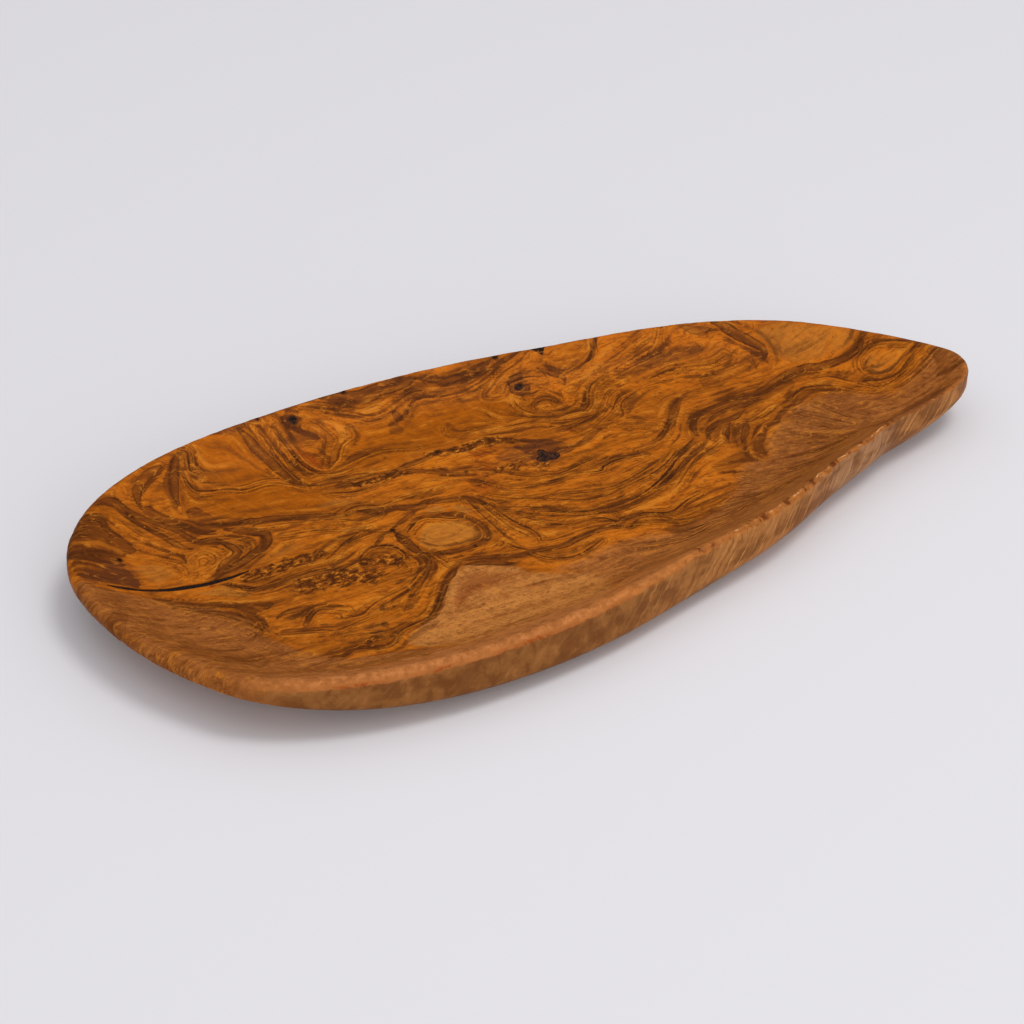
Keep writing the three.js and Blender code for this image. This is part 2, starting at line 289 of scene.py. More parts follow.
NEAR_LEFT_VEINS = (
    (1.5, 0.8, ((-134, 15), (-131, 10), (-127, 6.5), (-121, 4.5), (-105, 3), (-99, 0), (-94, -2))),
    (0.7, 0.6, ((-134, 13), (-130, 8.5), (-122, 7), (-106, 5.5), (-99, 4))),
    (1.6, 0.6, ((-163, 22), (-150, 10), (-144, 6), (-139, 2), (-135, 0.5))),
    (0.8, 0.55, ((-158, 12), (-147, 1), (-140, -12), (-139, -18))),
    (1.6, 0.75, ((-139, 0), (-137.5, -12), (-139, -16))),
    (1.4, 0.65, ((-131, -13), (-126, -12), (-118, -15), (-121, -18), (-124, -22))),
    (0.7, 0.6, ((-124, -23), (-116, -18), (-108, -24))),
    (0.7, 0.65, ((-133, -22), (-121, -29), (-116, -32), (-100, -32), (-96, -31.5))),
    (0.8, 0.65, ((-109, -27), (-105, -29.5), (-96, -26.2), (-82, -25), (-76, -22), (-67, -17), (-66, -12))),
    (0.6, 0.5, ((-67, -20), (-86, -35))),
    (1.2, 0.75, ((-128, -44), (-123, -46), (-117, -45), (-107, -50.3), (-98, -47))),
    (0.7, 0.7, ((-105, -50), (-98, -46), (-86, -45), (-80, -41.5), (-70, -32))),
    (1.5, 0.85, ((-90, -47), (-83, -44.5), (-77, -40), (-67, -30), (-57, -25))),
    (0.7, 0.5, ((-118, -36), (-112, -38), (-107, -41), (-101, -43), (-94, -43))),
    (0.8, 0.75, ((-62, -13), (-60.5, -23))),
    (0.6, 0.5, ((-74, -10), (-73, -14), (-75, -17.5), (-80, -17))),
    (0.6, 0.45, ((-70, -8), (-69, -14), (-72, -19), (-78, -20.5), (-84, -19.5))),
    (1.5, 0.8, ((-57, -23), (-50, -25.5), (-36, -34), (-30, -34.8), (-20, -38.2), (-10, -38), (3, -39),
        (7, -42), (10.5, -44))),
    (1.6, 0.75, ((-57, -26), (-50, -29.5), (-42, -36), (-38, -37))),
    (0.8, 0.75, ((-35, -25), (-33.5, -29.5), (-30, -34), (-25, -36))),
    (0.8, 0.75, ((-31, -35), (-28, -41), (-23, -45), (-17, -46.5), (-5, -44.5))),
    (0.6, 0.5, ((-42, -22), (-37, -21.3), (-36, -23.5), (-40, -25))),
)
MIDDLE_RIGHT_VEINS = (
    (1.7, 0.75, ((-7, 80), (0, 77), (5, 74.2), (20, 72.2), (28, 73))),
    (0.8, 0.75, ((25, 61), (29, 62.7), (38, 61), (43, 58.5))),
    (0.6, 0.55, ((23, 59.5), (18, 61.5), (17.5, 63.5), (28, 66.8), (36, 67), (42, 68))),
    (0.8, 0.75, ((28, 58), (34, 55), (38, 54.5))),
    (0.7, 0.55, ((29, 46), (31, 49.5), (35, 51.3), (39, 50.7), (41, 48), (40, 45))),
    (0.6, 0.5, ((27, 58), (26, 53), (26.5, 47), (29, 42), (33, 39.5))),
    (1.4, 0.7, ((43, 62), (51, 55), (50, 51.5))),
    (1, 0.6, ((51, 55), (64, 55), (68, 57), (70, 60.5))),
    (0.8, 0.7, ((46, 33), (51, 36), (60, 46), (75, 47.3), (93, 47))),
    (0.7, 0.55, ((49, 31), (54, 34.5), (62, 43), (76, 45), (98, 43))),
    (0.6, 0.5, ((52, 49), (57, 50.8), (72, 51.2), (92, 52))),
    (1, 0.6, ((10, 43.5), (24, 39), (38, 31), (50, 28))),
    (1, 0.6, ((24, 41), (34, 36), (40, 35.3), (46, 33.8))),
    (0.7, 0.55, ((36, 24), (42, 24.5), (53, 28.5), (62, 36), (68, 38))),
    (0.7, 0.55, ((37, 20), (44, 21.5), (55, 26), (63, 32), (70, 34))),
    (0.7, 0.5, ((38, 27), (44, 27), (50, 29), (59, 36.5), (65, 40), (74, 41))),
    (0.9, 0.55, ((44, 18), (56, 20.5), (59, 23), (61, 27), (65, 30), (71, 31.5))),
    (1.2, 0.65, ((24, 15), (30, 14), (42, 18), (46, 17))),
    (0.8, 0.4, ((50, 16), (58, 9), (62, 4.5))),
    (0.7, 0.35, ((53, 19), (58, 15), (66, 6))),
    (1.8, 0.6, ((64, 0), (76, 10.5), (82, 15.5), (87, 17))),
    (0.9, 0.6, ((0, 48), (8, 44.5))),
    (0.6, 0.4, ((10, 58), (12, 54), (11, 50), (13, 47))),
    (0.6, 0.4, ((-8, 55), (-9, 51), (-6, 48))),
    (0.8, 0.9, ((1, 1.5), (5, -0.5), (15, -2), (23, -6), (26, -6), (27, -4.5), (36, -4.2), (44.5, -7.5))),
    (0.9, 0.65, ((4, 6), (8, 2.5), (15, 1.7), (22, 2.4), (30, 1.5))),
    (0.9, 0.65, ((44.5, -7), (45.5, -3.5), (50, -4), (60, -2), (70, 5))),
    (0.8, 0.65, ((2, -9), (16, -16), (26, -18), (45, -15))),
    (0.8, 0.7, ((-17, -1), (-4, -10), (6, -18), (17, -21.7), (24, -21), (40, -20), (50, -17), (58, -13))),
    (0.6, 0.5, ((22, -14), (38, -12), (46, -12))),
    (1, 0.9, ((-12, -15), (0, -24), (10, -28), (20, -29.7), (34, -27.2), (47, -22), (54, -18), (67, -13.5))),
    (1.2, 0.75, ((33, -30), (40, -28), (72, -15))),
    (1, 0.6, ((40, -34), (58, -23.5), (64, -21), (72, -20), (78, -18))),
    (0.9, 0.75, ((-17, -23), (-7, -29), (4, -32), (8, -38))),
    (1, 0.7, ((-22, -32), (-17, -33.5), (-3, -34.8), (7, -38.5))),
    (0.9, 0.8, ((10, -37.5), (20, -39.5), (27, -44.5), (32, -45), (38, -43), (46, -42))),
    (0.8, 0.75, ((10, -44), (15, -41.5), (20, -43), (24, -46), (27, -50))),
    (0.7, 0.65, ((12, -42.5), (22, -49), (26, -52.5), (30, -54))),
    (0.6, 0.7, ((32, -51), (40, -51.5), (54, -51))),
    (0.7, 0.6, ((10, -30), (12, -33), (11, -37))),
    (0.7, 0.55, ((17, -31.5), (24, -32), (37, -30.5))),
    (0.6, 0.5, ((14, -25), (19, -25.5), (42, -22))),
)
TIP_VEINS = (
    (0.9, 0.65, ((95, 47.5), (98, 49.5), (100, 52))),
    (1.2, 0.65, ((108, 48), (113, 43), (122, 37.5))),
    (1.9, 0.85, ((122, 41), (132, 24), (133.3, 20), (132, 16.5))),
    (0.9, 0.6, ((84, 36), (92, 36), (99, 34), (111, 28.5), (118, 28))),
    (0.7, 0.5, ((88, 34), (98, 32.5), (105, 28.5), (112, 26), (120, 25))),
    (1.8, 0.85, ((72.5, -9), (74, -4.5), (78, 0), (84, 3), (98, 3), (113, 1), (130, 4.5), (141, 2.5),
        (146, -1), (158, -6), (164, -6.5), (169, -2))),
    (1.2, 0.6, ((100, 8), (116, 6), (123, 7))),
    (1.6, 0.8, ((75, -14), (77, -10.5), (81, -8), (86, -7), (93, -7.5), (101, -6))),
    (1.5, 0.8, ((80, -20), (85, -13), (89, -10))),
    (1.7, 0.8, ((83, -25), (97, -12))),
    (1.8, 0.8, ((86, -36), (85.5, -32), (92, -26), (98, -23))),
    (1.2, 0.6, ((80, -5), (92, -1), (108, -3))),
    (0.8, 0.6, ((90, -13), (94, -12), (98, -14), (112, -11))),
    (1.3, 0.65, ((96, -24), (100, -21), (106, -20), (110, -17.5), (116, -15.5), (130, -13))),
    (0.9, 0.6, ((122, -11), (128, -8), (134, -7.5), (144, -14), (150, -22.5), (159, -29.5), (176, -31.5),
        (185, -31))),
    (0.8, 0.6, ((143, -6), (147, -9), (153, -20), (157, -25.5), (162, -28), (170, -28.7), (179, -28))),
    (0.8, 0.6, ((152, -17), (162, -25), (168, -27), (174, -26), (181, -25.5))),
    (0.7, 0.55, ((158, -19), (157.5, -14), (160, -10), (165, -9), (171, -11), (178, -19))),
    (0.7, 0.5, ((164, -6.5), (170, -9), (175, -13))),
    (1.2, 0.42, ((110, -22), (115, -28), (122, -39))),
    (1.2, 0.42, ((103, -27), (108, -34), (113, -39), (119, -43))),
    (1.2, 0.55, ((91, -43), (112, -48), (124, -47))),
    (1.2, 0.5, ((84, -48), (90, -51.5), (99, -53))),
    (1, 0.36, ((97, -31), (101, -37), (115, -46))),
    (1, 0.36, ((128, -20), (132, -35), (136, -40))),
    (1, 0.4, ((118, -20), (130, -40))),
    (0.8, 0.6, ((4, -55), (19, -63), (28, -64), (38, -63), (54, -66))),
    (0.8, 0.6, ((27, -59), (45, -62), (56, -61), (66, -62), (85, -59))),
    (0.8, 0.6, ((40, -50), (67, -58), (76, -59), (84, -61))),
    (0.8, 0.55, ((68, -42), (76, -47), (94, -53), (112, -54), (120, -53))),
    (0.7, 0.5, ((-6, -69), (5, -72), (15, -73), (24, -72), (42, -74))),
    (0.7, 0.5, ((36, -70), (50, -71), (60, -69), (70, -69), (80, -67))),
    (0.7, 0.5, ((60, -48), (70, -53), (80, -55), (92, -58), (104, -59))),
)
VEINS = TONGUE_VEINS + FAR_LEFT_VEINS + MIDDLE_VEINS + NEAR_LEFT_VEINS + MIDDLE_RIGHT_VEINS + TIP_VEINS

# Tinted areas of the figure by kind: strength, softness of the edge and outline
PATCHES = {
    "dark": (
        (0.8, 4, ((-180, 60), (-170, 67), (-162, 66), (-154, 53), (-162, 48), (-163.5, 43), (-163, 32.5),
            (-168, 31), (-184, 36), (-182, 48))),
        (0.65, 2, ((-139, 72), (-134, 68), (-127, 61), (-124.5, 65.5), (-120, 65.5), (-116.5, 56),
            (-108.5, 49.5), (-107.5, 46.5), (-112, 45), (-115, 47.5), (-121, 48), (-127, 49.5), (-131.5, 49),
            (-130.5, 54), (-136, 63), (-141, 69))),
        (0.5, 2, ((-128, 76), (-124, 82), (-118, 84), (-112, 87), (-113, 82), (-119, 80.5), (-126, 70))),
        (0.45, 2.5, ((-68, 81), (-57, 78.5), (-59, 74.5), (-66, 75), (-69, 77))),
        (0.6, 2.5, ((-62, 50), (-55, 47), (-42, 43), (-40, 41), (-44, 39.5), (-52, 39), (-66, 43.5),
            (-68, 46))),
        (0.5, 3, ((-29, 34), (-15, 27), (-17, 21), (-23, 23), (-29, 29))),
        (0.5, 2.5, ((-77, 28), (-70, 30.5), (-64, 28.5), (-60, 24), (-55, 20.5), (-60, 19), (-72, 25))),
        (0.45, 3, ((-12, 79), (0, 76), (10, 72), (24, 70), (10, 69), (-10, 74))),
        (0.35, 3.5, ((30, 50), (36, 52), (42, 49), (44, 42), (40, 38), (32, 40), (29, 45))),
        (0.75, 3, ((9, 33), (20, 25), (27, 14), (20, 11.5), (12, 11.5), (6, 14), (8, 20), (7, 26))),
        (0.4, 3, ((50, 44), (55, 45), (58, 41), (54, 36), (49, 36), (48, 40))),
        (0.35, 4, ((73, 45), (84, 44), (98, 43), (112, 39), (110, 35), (92, 38), (76, 38))),
        (0.5, 3, ((103, 25), (118, 23), (130, 21), (132, 17), (118, 16), (103, 15), (99, 19))),
        (0.4, 3.5, ((79, 4), (92, 4.5), (124, 4), (132, 0), (126, -5), (94, -3), (82, -1))),
        (0.4, 3.5, ((76, -6), (82, -9), (90, -9), (88, -14), (80, -16), (76, -12))),
        (0.45, 3.5, ((63, -28), (72, -29), (84, -27), (97, -24), (84, -38), (76, -35), (68, -38),
            (62, -34))),
        (0.35, 3, ((122, -11), (130, -8), (138, -9), (146, -16), (149, -23), (141, -16), (132, -13),
            (124, -14))),
        (0.45, 6, ((174, -4), (194, -20), (194, -40), (184, -46), (177, -42), (182, -30))),
        (0.45, 3, ((-140, 3), (-134, 2), (-128, -3), (-131, -6), (-136, -5), (-135, -12), (-139, -17),
            (-141, -8))),
        (0.4, 2.5, ((-131, -12), (-122, -11), (-116.5, -14), (-121, -18), (-126, -16.5))),
        (0.45, 2.5, ((-127, -43), (-114, -46), (-107, -51), (-122, -48))),
        (0.4, 2, ((-191, 8), (-180, 9), (-183, 3), (-188, -4), (-192, -2))),
        (0.35, 4, ((-170, -12), (-160, -20), (-150, -24), (-145, -33), (-155, -36), (-172, -20))),
    ),
    "purple": (
        (1.1, 6, ((-184, 35), (-168, 46), (-163, 44), (-162, 33), (-179, 31))),
        (0.95, 1.5, ((-98, 92), (-70, 92), (-40, 91), (-36, 87), (-50, 88.5), (-70, 89.2), (-90, 88.5))),
        (0.95, 6, ((0, 27), (17, 27), (23, 20), (22, 12), (12, 9), (-3, 20))),
        (1.3, 3, ((132, -50), (146, -49), (160, -47), (168, -52), (160, -61), (148, -64), (132, -65))),
    ),
    "red": (
        (0.8, 2.5, ((-71, 76), (-62, 70), (-63, 66), (-60.5, 63), (-64, 60), (-69, 60), (-71, 66))),
        (0.35, 3, ((-76, -42), (-70, -38), (-60, -38), (-44, -44), (-50, -46), (-62, -43), (-72, -46))),
    ),
    "pale": (
        (0.85, 2, ((-62, -4), (-58, 1), (-52, 4), (-42, -1), (-39, -6), (-38.5, -12), (-40, -15.5),
            (-44, -16), (-57, -13), (-62, -10))),
        (0.7, 2, ((-38.5, 9), (-35, 8), (-33, 3), (-35, -1), (-38, 2))),
        (0.75, 2, ((-50, 11.5), (-44, 13), (-40.5, 10), (-42, 7), (-46, 8))),
        (0.8, 1.5, ((-150, 19.5), (-143, 16.5), (-136, 16), (-134, 10), (-131, 5), (-136, 6))),
        (0.6, 3.5, ((-161, 42), (-157, 45), (-150, 43), (-146, 36), (-148, 31), (-156, 29), (-160, 34))),
        (0.5, 2, ((-128, 44.5), (-124, 44), (-119, 38), (-117.5, 33), (-119, 29), (-123, 39))),
        (0.5, 4, ((-84, 39), (-72, 42), (-61, 36), (-68, 31), (-79, 34))),
        (0.45, 3, ((-122, 20), (-112, 26), (-100, 25), (-95, 18), (-104, 17), (-116, 16.5))),
        (0.5, 2.5, ((-84, 6), (-72, 10), (-80, 11), (-98, 5), (-92, 3))),
        (0.4, 3.5, ((-120, -33), (-108, -34), (-96, -33), (-92, -40), (-104, -45), (-114, -42))),
        (0.5, 2.5, ((-27, -40), (-20, -42), (-8, -42.5), (-8, -44), (-17, -45.5), (-24, -44))),
        (0.5, 2, ((20, -27), (30, -26), (40, -23), (52, -17), (63, -14), (52, -19), (40, -25), (28, -28))),
        (0.4, 3, ((44, -12), (30, -5), (40, -7), (48, -10))),
        (0.6, 4, ((135, 30), (150, 22), (163, 8), (168, 0), (160, -4), (142, 4), (136, 14))),
        (0.5, 4, ((160, -11), (168, -11), (180, -23), (170, -26), (160, -22))),
        (0.5, 4, ((-68, -58), (-60, -56), (-54, -59), (-58, -63), (-66, -62))),
    ),
    "amber": (
        (0.9, 4, ((-121, 78), (-116, 74), (-86, 62), (-78, 52), (-66, 46), (-74, 36), (-82, 33), (-98, 44),
            (-108, 50), (-117, 60), (-122, 70))),
        (0.8, 5, ((-42, 76), (-28, 73), (10, 66), (24, 58), (22, 46), (8, 48), (-30, 46), (-54, 52),
            (-56, 60))),
        (0.8, 3, ((-107, 88), (-90, 87), (-86, 80), (-85, 70), (-90, 67), (-100, 69), (-108, 74))),
    ),
    "sap": (
        (0.95, 5, ((-100, -54), (-80, -44), (-72, -36), (-56, -27), (-42, -38), (-38, -46), (-22, -58),
            (-20, -66), (-26, -78), (-44, -86), (-80, -74))),
    ),
    "tan": (
        (0.9, 11, ((24, -56), (52, -52), (75, -37), (86, -38), (92, -30), (116, -17), (141, -17.5),
            (160, -33), (200, -34), (200, -80), (120, -110), (-10, -120), (-22, -60), (-30, -50), (4, -50))),
        (0.9, 5, ((-205, 31), (-180, 29), (-158, 18), (-140, -6), (-140, -20), (-126, -46), (-100, -60),
            (-82, -74), (-40, -88), (0, -92), (20, -120), (-200, -120))),
    ),
}

# Blots that stand by themselves, by kind: strength, radius and place
BLOTS = {
    "black": (
        (0.9, 1.6, (-163, 47.5)), (0.7, 2.2, (-66, 8.3)), (0.8, 1.4, (-46, -18.6)), (0.8, 1.3, (-40, -18)),
        (0.8, 2.2, (-21, 43.6)), (0.75, 1.6, (-15, 41)), (0.7, 1.5, (-19.5, 25)), (0.85, 1.8, (-37.9, 87)),
        (0.9, 1.8, (29, 72.8)), (0.75, 1.6, (-77, 90)), (0.4, 1.8, (10.5, -43.5)), (0.4, 2, (30, -49)),
        (0.6, 1.2, (24.5, -6)), (0.6, 1.6, (75, -5)), (0.6, 1.8, (163, -6.3)), (0.5, 2.2, (53, 40)),
        (0.52, 3, (20.5, 17.5)), (0.5, 3.5, (25, 15.5)), (0.44, 3, (29.5, 15)), (0.46, 3, (19, 22.5)),
        (0.46, 3, (14, 23.5)), (0.42, 3.5, (7.5, 20)), (0.5, 1.8, (43, 17)), (0.55, 1.8, (35, -31)),
    ),
    "dark": (
        (0.8, 4.5, (-63.4, 85.1)), (0.9, 5.5, (31.9, 59.5)), (0.8, 2.4, (-22, 71.5)), (0.5, 3.5, (-26, 66)),
        (0.8, 2.2, (-96, -31.5)), (0.7, 2.6, (-88, -36)), (0.7, 1.6, (-101, -40)), (0.6, 1.6, (-83, -31)),
        (0.6, 2.2, (47, -8)), (0.5, 3, (70, 60.5)), (0.5, 3, (80, -13)),
    ),
    "red": (
        (0.7, 2.5, (33, 24)), (0.6, 2.5, (-69, 1.5)), (0.65, 8, (-14, 22)), (0.65, 8, (-8, 31)),
        (0.6, 8, (-20, 12)),
    ),
}

# Pocket of bark at the far rim: softness of its edge and outline
BARK_SOFT = 0.8
BARK_POCKET = ((43, 70.5), (53, 68.5), (50, 66.2), (48, 64.2), (46.5, 66))

# Bands of burl speckles: half width, strength and points
SPECKLES = (
    (3.5, 1, ((-126, 14.5), (-118, 13.5), (-108, 12.5), (-98, 12.5))),
    (5, 1, ((-113, -2), (-104, -5), (-96, -7), (-89, -11))),
    (4, 0.7, ((-86, -3), (-80, -5), (-76, -8))),
    (3, 0.7, ((-60, 43), (-52, 41), (-44, 40.5), (-40, 38))),
    (4, 0.6, ((-24, 43), (-16, 41), (-8, 39), (0, 38), (8, 33))),
    (4, 0.5, ((-14, 20), (-4, 17), (4, 15), (10, 10))),
    (3, 0.5, ((-96, -31), (-90, -35), (-84, -31))),
    (3, 0.5, ((-110, -45), (-102, -47))),
)


def bezier(a, b, c, d, t):
    """Points of a cubic curve at the shares t."""
    u = 1 - t
    return u**3 * a + 3 * u * u * t * b + 3 * u * t * t * c + t**3 * d


def smooth_share(value):
    """Share from 0 to 1 with soft ends."""
    share = np.clip(value, 0, 1)
    return share * share * (3 - 2 * share)


def unit(vectors):
    """Vectors brought to a length of 1."""
    return vectors / np.linalg.norm(vectors, axis=-1, keepdims=True)


def along(station):
    """Direction of the rim at a station."""
    angle = math.radians(station.heading)
    return np.array((math.cos(angle), math.sin(angle)))


def beside(station, inset, slide):
    """Point beside a station, moved in from the rim and along it."""
    run = along(station)
    inwards = np.array((run[1], -run[0]))
    return np.array((station.x, station.y)) + inwards * inset + run * slide


def loft_columns():
    """Columns of the loft along the rim: rim, base and floor points and the section's values."""
    loops = {
        "rim": [beside(s, 0, 0) for s in STATIONS],
        "base": [beside(s, s.base_inset, s.base_slide) for s in STATIONS],
        "floor": [beside(s, s.floor_inset, s.floor_slide) for s in STATIONS],
    }
    columns = {key: [] for key in ("rim", "base", "floor", "edge", "lip", "belly", "live")}
    for i, here in enumerate(STATIONS):
        after = (i + 1) % len(STATIONS)
        there = STATIONS[after]
        rim_chord = np.linalg.norm(loops["rim"][after] - loops["rim"][i])
        t = np.linspace(0, 1, round(RIM_STRETCH * rim_chord / RIM_STEP), endpoint=False)[:, None]
        for name, points in loops.items():
            start, end = points[i], points[after]
            scale = np.linalg.norm(end - start) / rim_chord
            leave = start + along(here) * here.after * scale
            arrive = end - along(there) * there.before * scale
            columns[name].append(bezier(start, leave, arrive, end, t))
        blend = smooth_share(t[:, 0])
        for key in ("edge", "lip", "belly"):
            columns[key].append(getattr(here, key) * (1 - blend) + getattr(there, key) * blend)
        live = here.live * there.live
        columns["live"].append(np.full(len(t), live))
        inwards = unit(columns["floor"][-1] - columns["rim"][-1])
        hollow = live * LIVE_EDGE_DEPTH * np.sin(math.pi * LIVE_EDGE_HOLLOWS * t) ** 2
        columns["rim"][-1] = columns["rim"][-1] + inwards * hollow
    return {key: np.concatenate(parts) for key, parts in columns.items()}


def section_rows(columns):
    """Rows of the loft from the base up the outside, over the lip and down to the floor: inset and height."""
    base_reach = np.linalg.norm(columns["base"] - columns["rim"], axis=1)
    floor_reach = np.linalg.norm(columns["floor"] - columns["rim"], axis=1)
    edge, lip = columns["edge"], columns["lip"]
    foot = HEIGHT - edge
    zero = np.zeros_like(foot)
    full = 1 - columns["belly"]
    outside, inside = [], []
    for t in np.linspace(0, 1, UNDERSIDE_ROWS + 1):
        inset = bezier(base_reach, base_reach * full, zero, zero, t)
        outside.append((inset, bezier(zero, zero, foot * full, foot, t)))
    for t in np.linspace(0, 1, BAND_ROWS + 1)[1:]:
        outside.append((zero, foot + (edge - lip) * t))
    for turn in np.linspace(0, math.pi / 2, LIP_ROWS + 1)[1:]:
        inside.append((lip * (1 - math.cos(turn)), HEIGHT - lip + lip * math.sin(turn)))
    cove = floor_reach - lip
    top, floor = zero + HEIGHT, zero + FLOOR_THICKNESS
    for t in np.linspace(0, 1, COVE_ROWS + 1)[1:]:
        inset = bezier(lip, lip + COVE_TOP_PULL * cove, floor_reach - COVE_FLOOR_PULL * cove, floor_reach, t)
        inside.append((inset, bezier(top, top, floor, floor, t)))
    return outside, inside


def wear(columns):
    """Inward wear of the rim at each column, from smooth noise. The natural edge is worn most."""
    depth = []
    for (x, y), live in zip(columns["rim"], columns["live"]):
        rough = noise.fractal(Vector((x, y, 0)) / EDGE_WEAR_LENGTH, *WEAR_NOISE)
        share = EDGE_WEAR_PLAIN + (1 - EDGE_WEAR_PLAIN) * live
        depth.append(share * max(0, EDGE_WEAR_BIAS + rough))
    return EDGE_WEAR * np.array(depth)


def loft_grid():
    """Vertices of the loft as columns by rows, and the number of rows on the outside."""
    columns = loft_columns()
    outside, inside = section_rows(columns)
    to_base = unit(columns["base"] - columns["rim"])
    to_floor = unit(columns["floor"] - columns["rim"])
    worn = wear(columns)
    rows = []
    for towards, profile in ((to_base, outside), (to_floor, inside)):
        for inset, height in profile:
            from_rim = np.hypot(inset, (HEIGHT - height) * EDGE_WEAR_DROP)
            share = smooth_share(1 - from_rim / EDGE_WEAR_REACH)
            at = columns["rim"] + towards * inset[:, None] + to_floor * (worn * share)[:, None]
            rows.append(np.column_stack((at, height)))
    return np.stack(rows, axis=1), len(outside)


def is_inside(points, outline):
    """Whether each point lies inside a closed outline."""
    inside = np.zeros(len(points), bool)
    x, y = points.T
    for (ax, ay), (bx, by) in zip(outline, np.roll(outline, -1, axis=0)):
        if ay != by:
            crosses = (ay > y) != (by > y)
            inside ^= crosses & (x < (bx - ax) * (y - ay) / (by - ay) + ax)
    return inside


def nearest_on(a, b, points):
    """Place on the straight piece from a to b that is nearest to each point."""
    a, b = np.array(a), np.array(b)
    run = b - a
    share = np.clip((points - a) @ run / max(run @ run, TINY), 0, 1)
    return a + share[:, None] * run


def line_distance(points, line):
    """Distance from each point to a line of straight pieces."""
    nearest = np.full(len(points), np.inf)
    for a, b in zip(line[:-1], line[1:]):
        nearest = np.minimum(nearest, np.linalg.norm(points - nearest_on(a, b, points), axis=1))
    return nearest


def lattice_inside(outline, step):
    """Points of a triangular lattice inside an outline, clear of its edge."""
    low, high = outline.min(axis=0), outline.max(axis=0)
    points = []
    for i, y in enumerate(np.arange(low[1], high[1], step * math.sqrt(0.75))):
        x = np.arange(low[0] + (i % 2) * step / 2, high[0], step)
        points.append(np.column_stack((x, np.full_like(x, y))))
    points = np.concatenate(points)
    points = points[is_inside(points, outline)]
    return points[line_distance(points, np.vstack((outline, outline[:1]))) > step * LATTICE_CLEAR]


def triangles_over(points, border, upwards):
    """Triangles over points that begin with a closed outline, facing up or down."""
    flat = [Vector(p) for p in points]
    _, _, faces, origins, _, _ = delaunay_2d_cdt(flat, [], [list(range(border))], FILL_INSIDE, FILL_CLOSE)
    made = []
    for face in faces:
        a, b, c = (origins[v][0] for v in face)
        turn = np.cross(points[b] - points[a], points[c] - points[a])
        made.append((a, b, c) if (turn > 0) == upwards else (a, c, b))
    return made


def board_mesh():
    """Closed skin of the dish before its flaws are cut, with its plan for baking."""
    grid, outside_rows = loft_grid()
    count, rows = grid.shape[:2]
    vertices = [grid.reshape(-1, 3)]
    index = np.arange(count * rows).reshape(count, rows)
    after = np.roll(index, -1, axis=0)
    quads = np.stack((index[:, :-1], index[:, 1:], after[:, 1:], after[:, :-1]), axis=-1)
    faces = quads.reshape(-1, 4).tolist()
    lip_end = outside_rows + LIP_ROWS - 1
    on_top = np.broadcast_to(np.arange(rows - 1) >= lip_end, (count, rows - 1)).reshape(-1).tolist()
    made = count * rows
    ends = ((0, BASE_STEP, 0, False), (rows - 1, FLOOR_STEP, FLOOR_THICKNESS, True))
    for row, step, height, upwards in ends:
        loop = grid[:, row, :2]
        inner = lattice_inside(loop, step)
        numbers = np.concatenate((index[:, row], made + np.arange(len(inner))))
        triangles = triangles_over(np.vstack((loop, inner)), count, upwards)
        faces += numbers[np.array(triangles)].tolist()
        on_top += [upwards] * len(triangles)
        vertices.append(np.column_stack((inner, np.full(len(inner), height))))
        made += len(inner)
    points = np.concatenate(vertices)
    under = points[:, :2].copy()
    under[: count * rows] = unrolled_outside(grid, lip_end)
    mesh = bpy.data.meshes.new("board")
    mesh.from_pydata(points * MM, [], faces)
    add_bake_plan(mesh, points[:, :2], under, on_top)
    return mesh


def unrolled_outside(grid, lip_end):
    """Plan of the outside with its steep walls laid out flat, by the length along each section."""
    steps = np.linalg.norm(np.diff(grid, axis=1), axis=2)
    run = np.concatenate((np.zeros((len(grid), 1)), np.cumsum(steps, axis=1)), axis=1)
    share = np.clip(run / run[:, lip_end : lip_end + 1], 0, 1)[:, :, None]
    base, rim = grid[:, :1, :2], grid[:, UNDERSIDE_ROWS : UNDERSIDE_ROWS + 1, :2]
    return (base * (1 - share) + rim * share).reshape(-1, 2)


def add_bake_plan(mesh, top, under, on_top):
    """UV map with the underside in the lower half and the top in the upper half."""
    corner = np.array((END, SIDE))
    size = np.array((LENGTH, 2 * WIDTH)) * BAKE_ROOM
    plan_under = (under + corner) / size + BAKE_UNDER
    plan_top = (top + corner) / size + BAKE_TOP
    layer = mesh.uv_layers.new(name="OFBake")
    loops = np.zeros(len(mesh.loops), np.int32)
    mesh.loops.foreach_get("vertex_index", loops)
    totals = np.zeros(len(mesh.polygons), np.int32)
    mesh.polygons.foreach_get("loop_total", totals)
    top_loops = np.repeat(np.array(on_top), totals)
    plan = np.where(top_loops[:, None], plan_top[loops], plan_under[loops])
    layer.data.foreach_set("uv", plan.astype(np.float32).ravel())


def spline(points, closed=False, step=1.0):
    """Smooth line through points, as short straight pieces."""
    points = np.array(points, float)
    count = len(points)
    made = []
    for i in range(count if closed else count - 1):
        around = (i - 1, i, i + 1, i + 2)
        a, b, c, d = (points[k % count if closed else min(max(k, 0), count - 1)] for k in around)
        pieces = max(2, round(np.linalg.norm(c - b) / step))
        t = np.linspace(0, 1, pieces, endpoint=False)[:, None]
        made.append(bezier(b, b + (c - a) / 6, c - (d - b) / 6, c, t))
    made.append(points[:1] if closed else points[-1:])
    return np.concatenate(made)


def near(points, line, reach):
    """Numbers of the points in a line's box, widened by a reach."""
    low, high = line.min(axis=0) - reach, line.max(axis=0) + reach
    return np.nonzero(np.all((points > low) & (points < high), axis=1))[0]


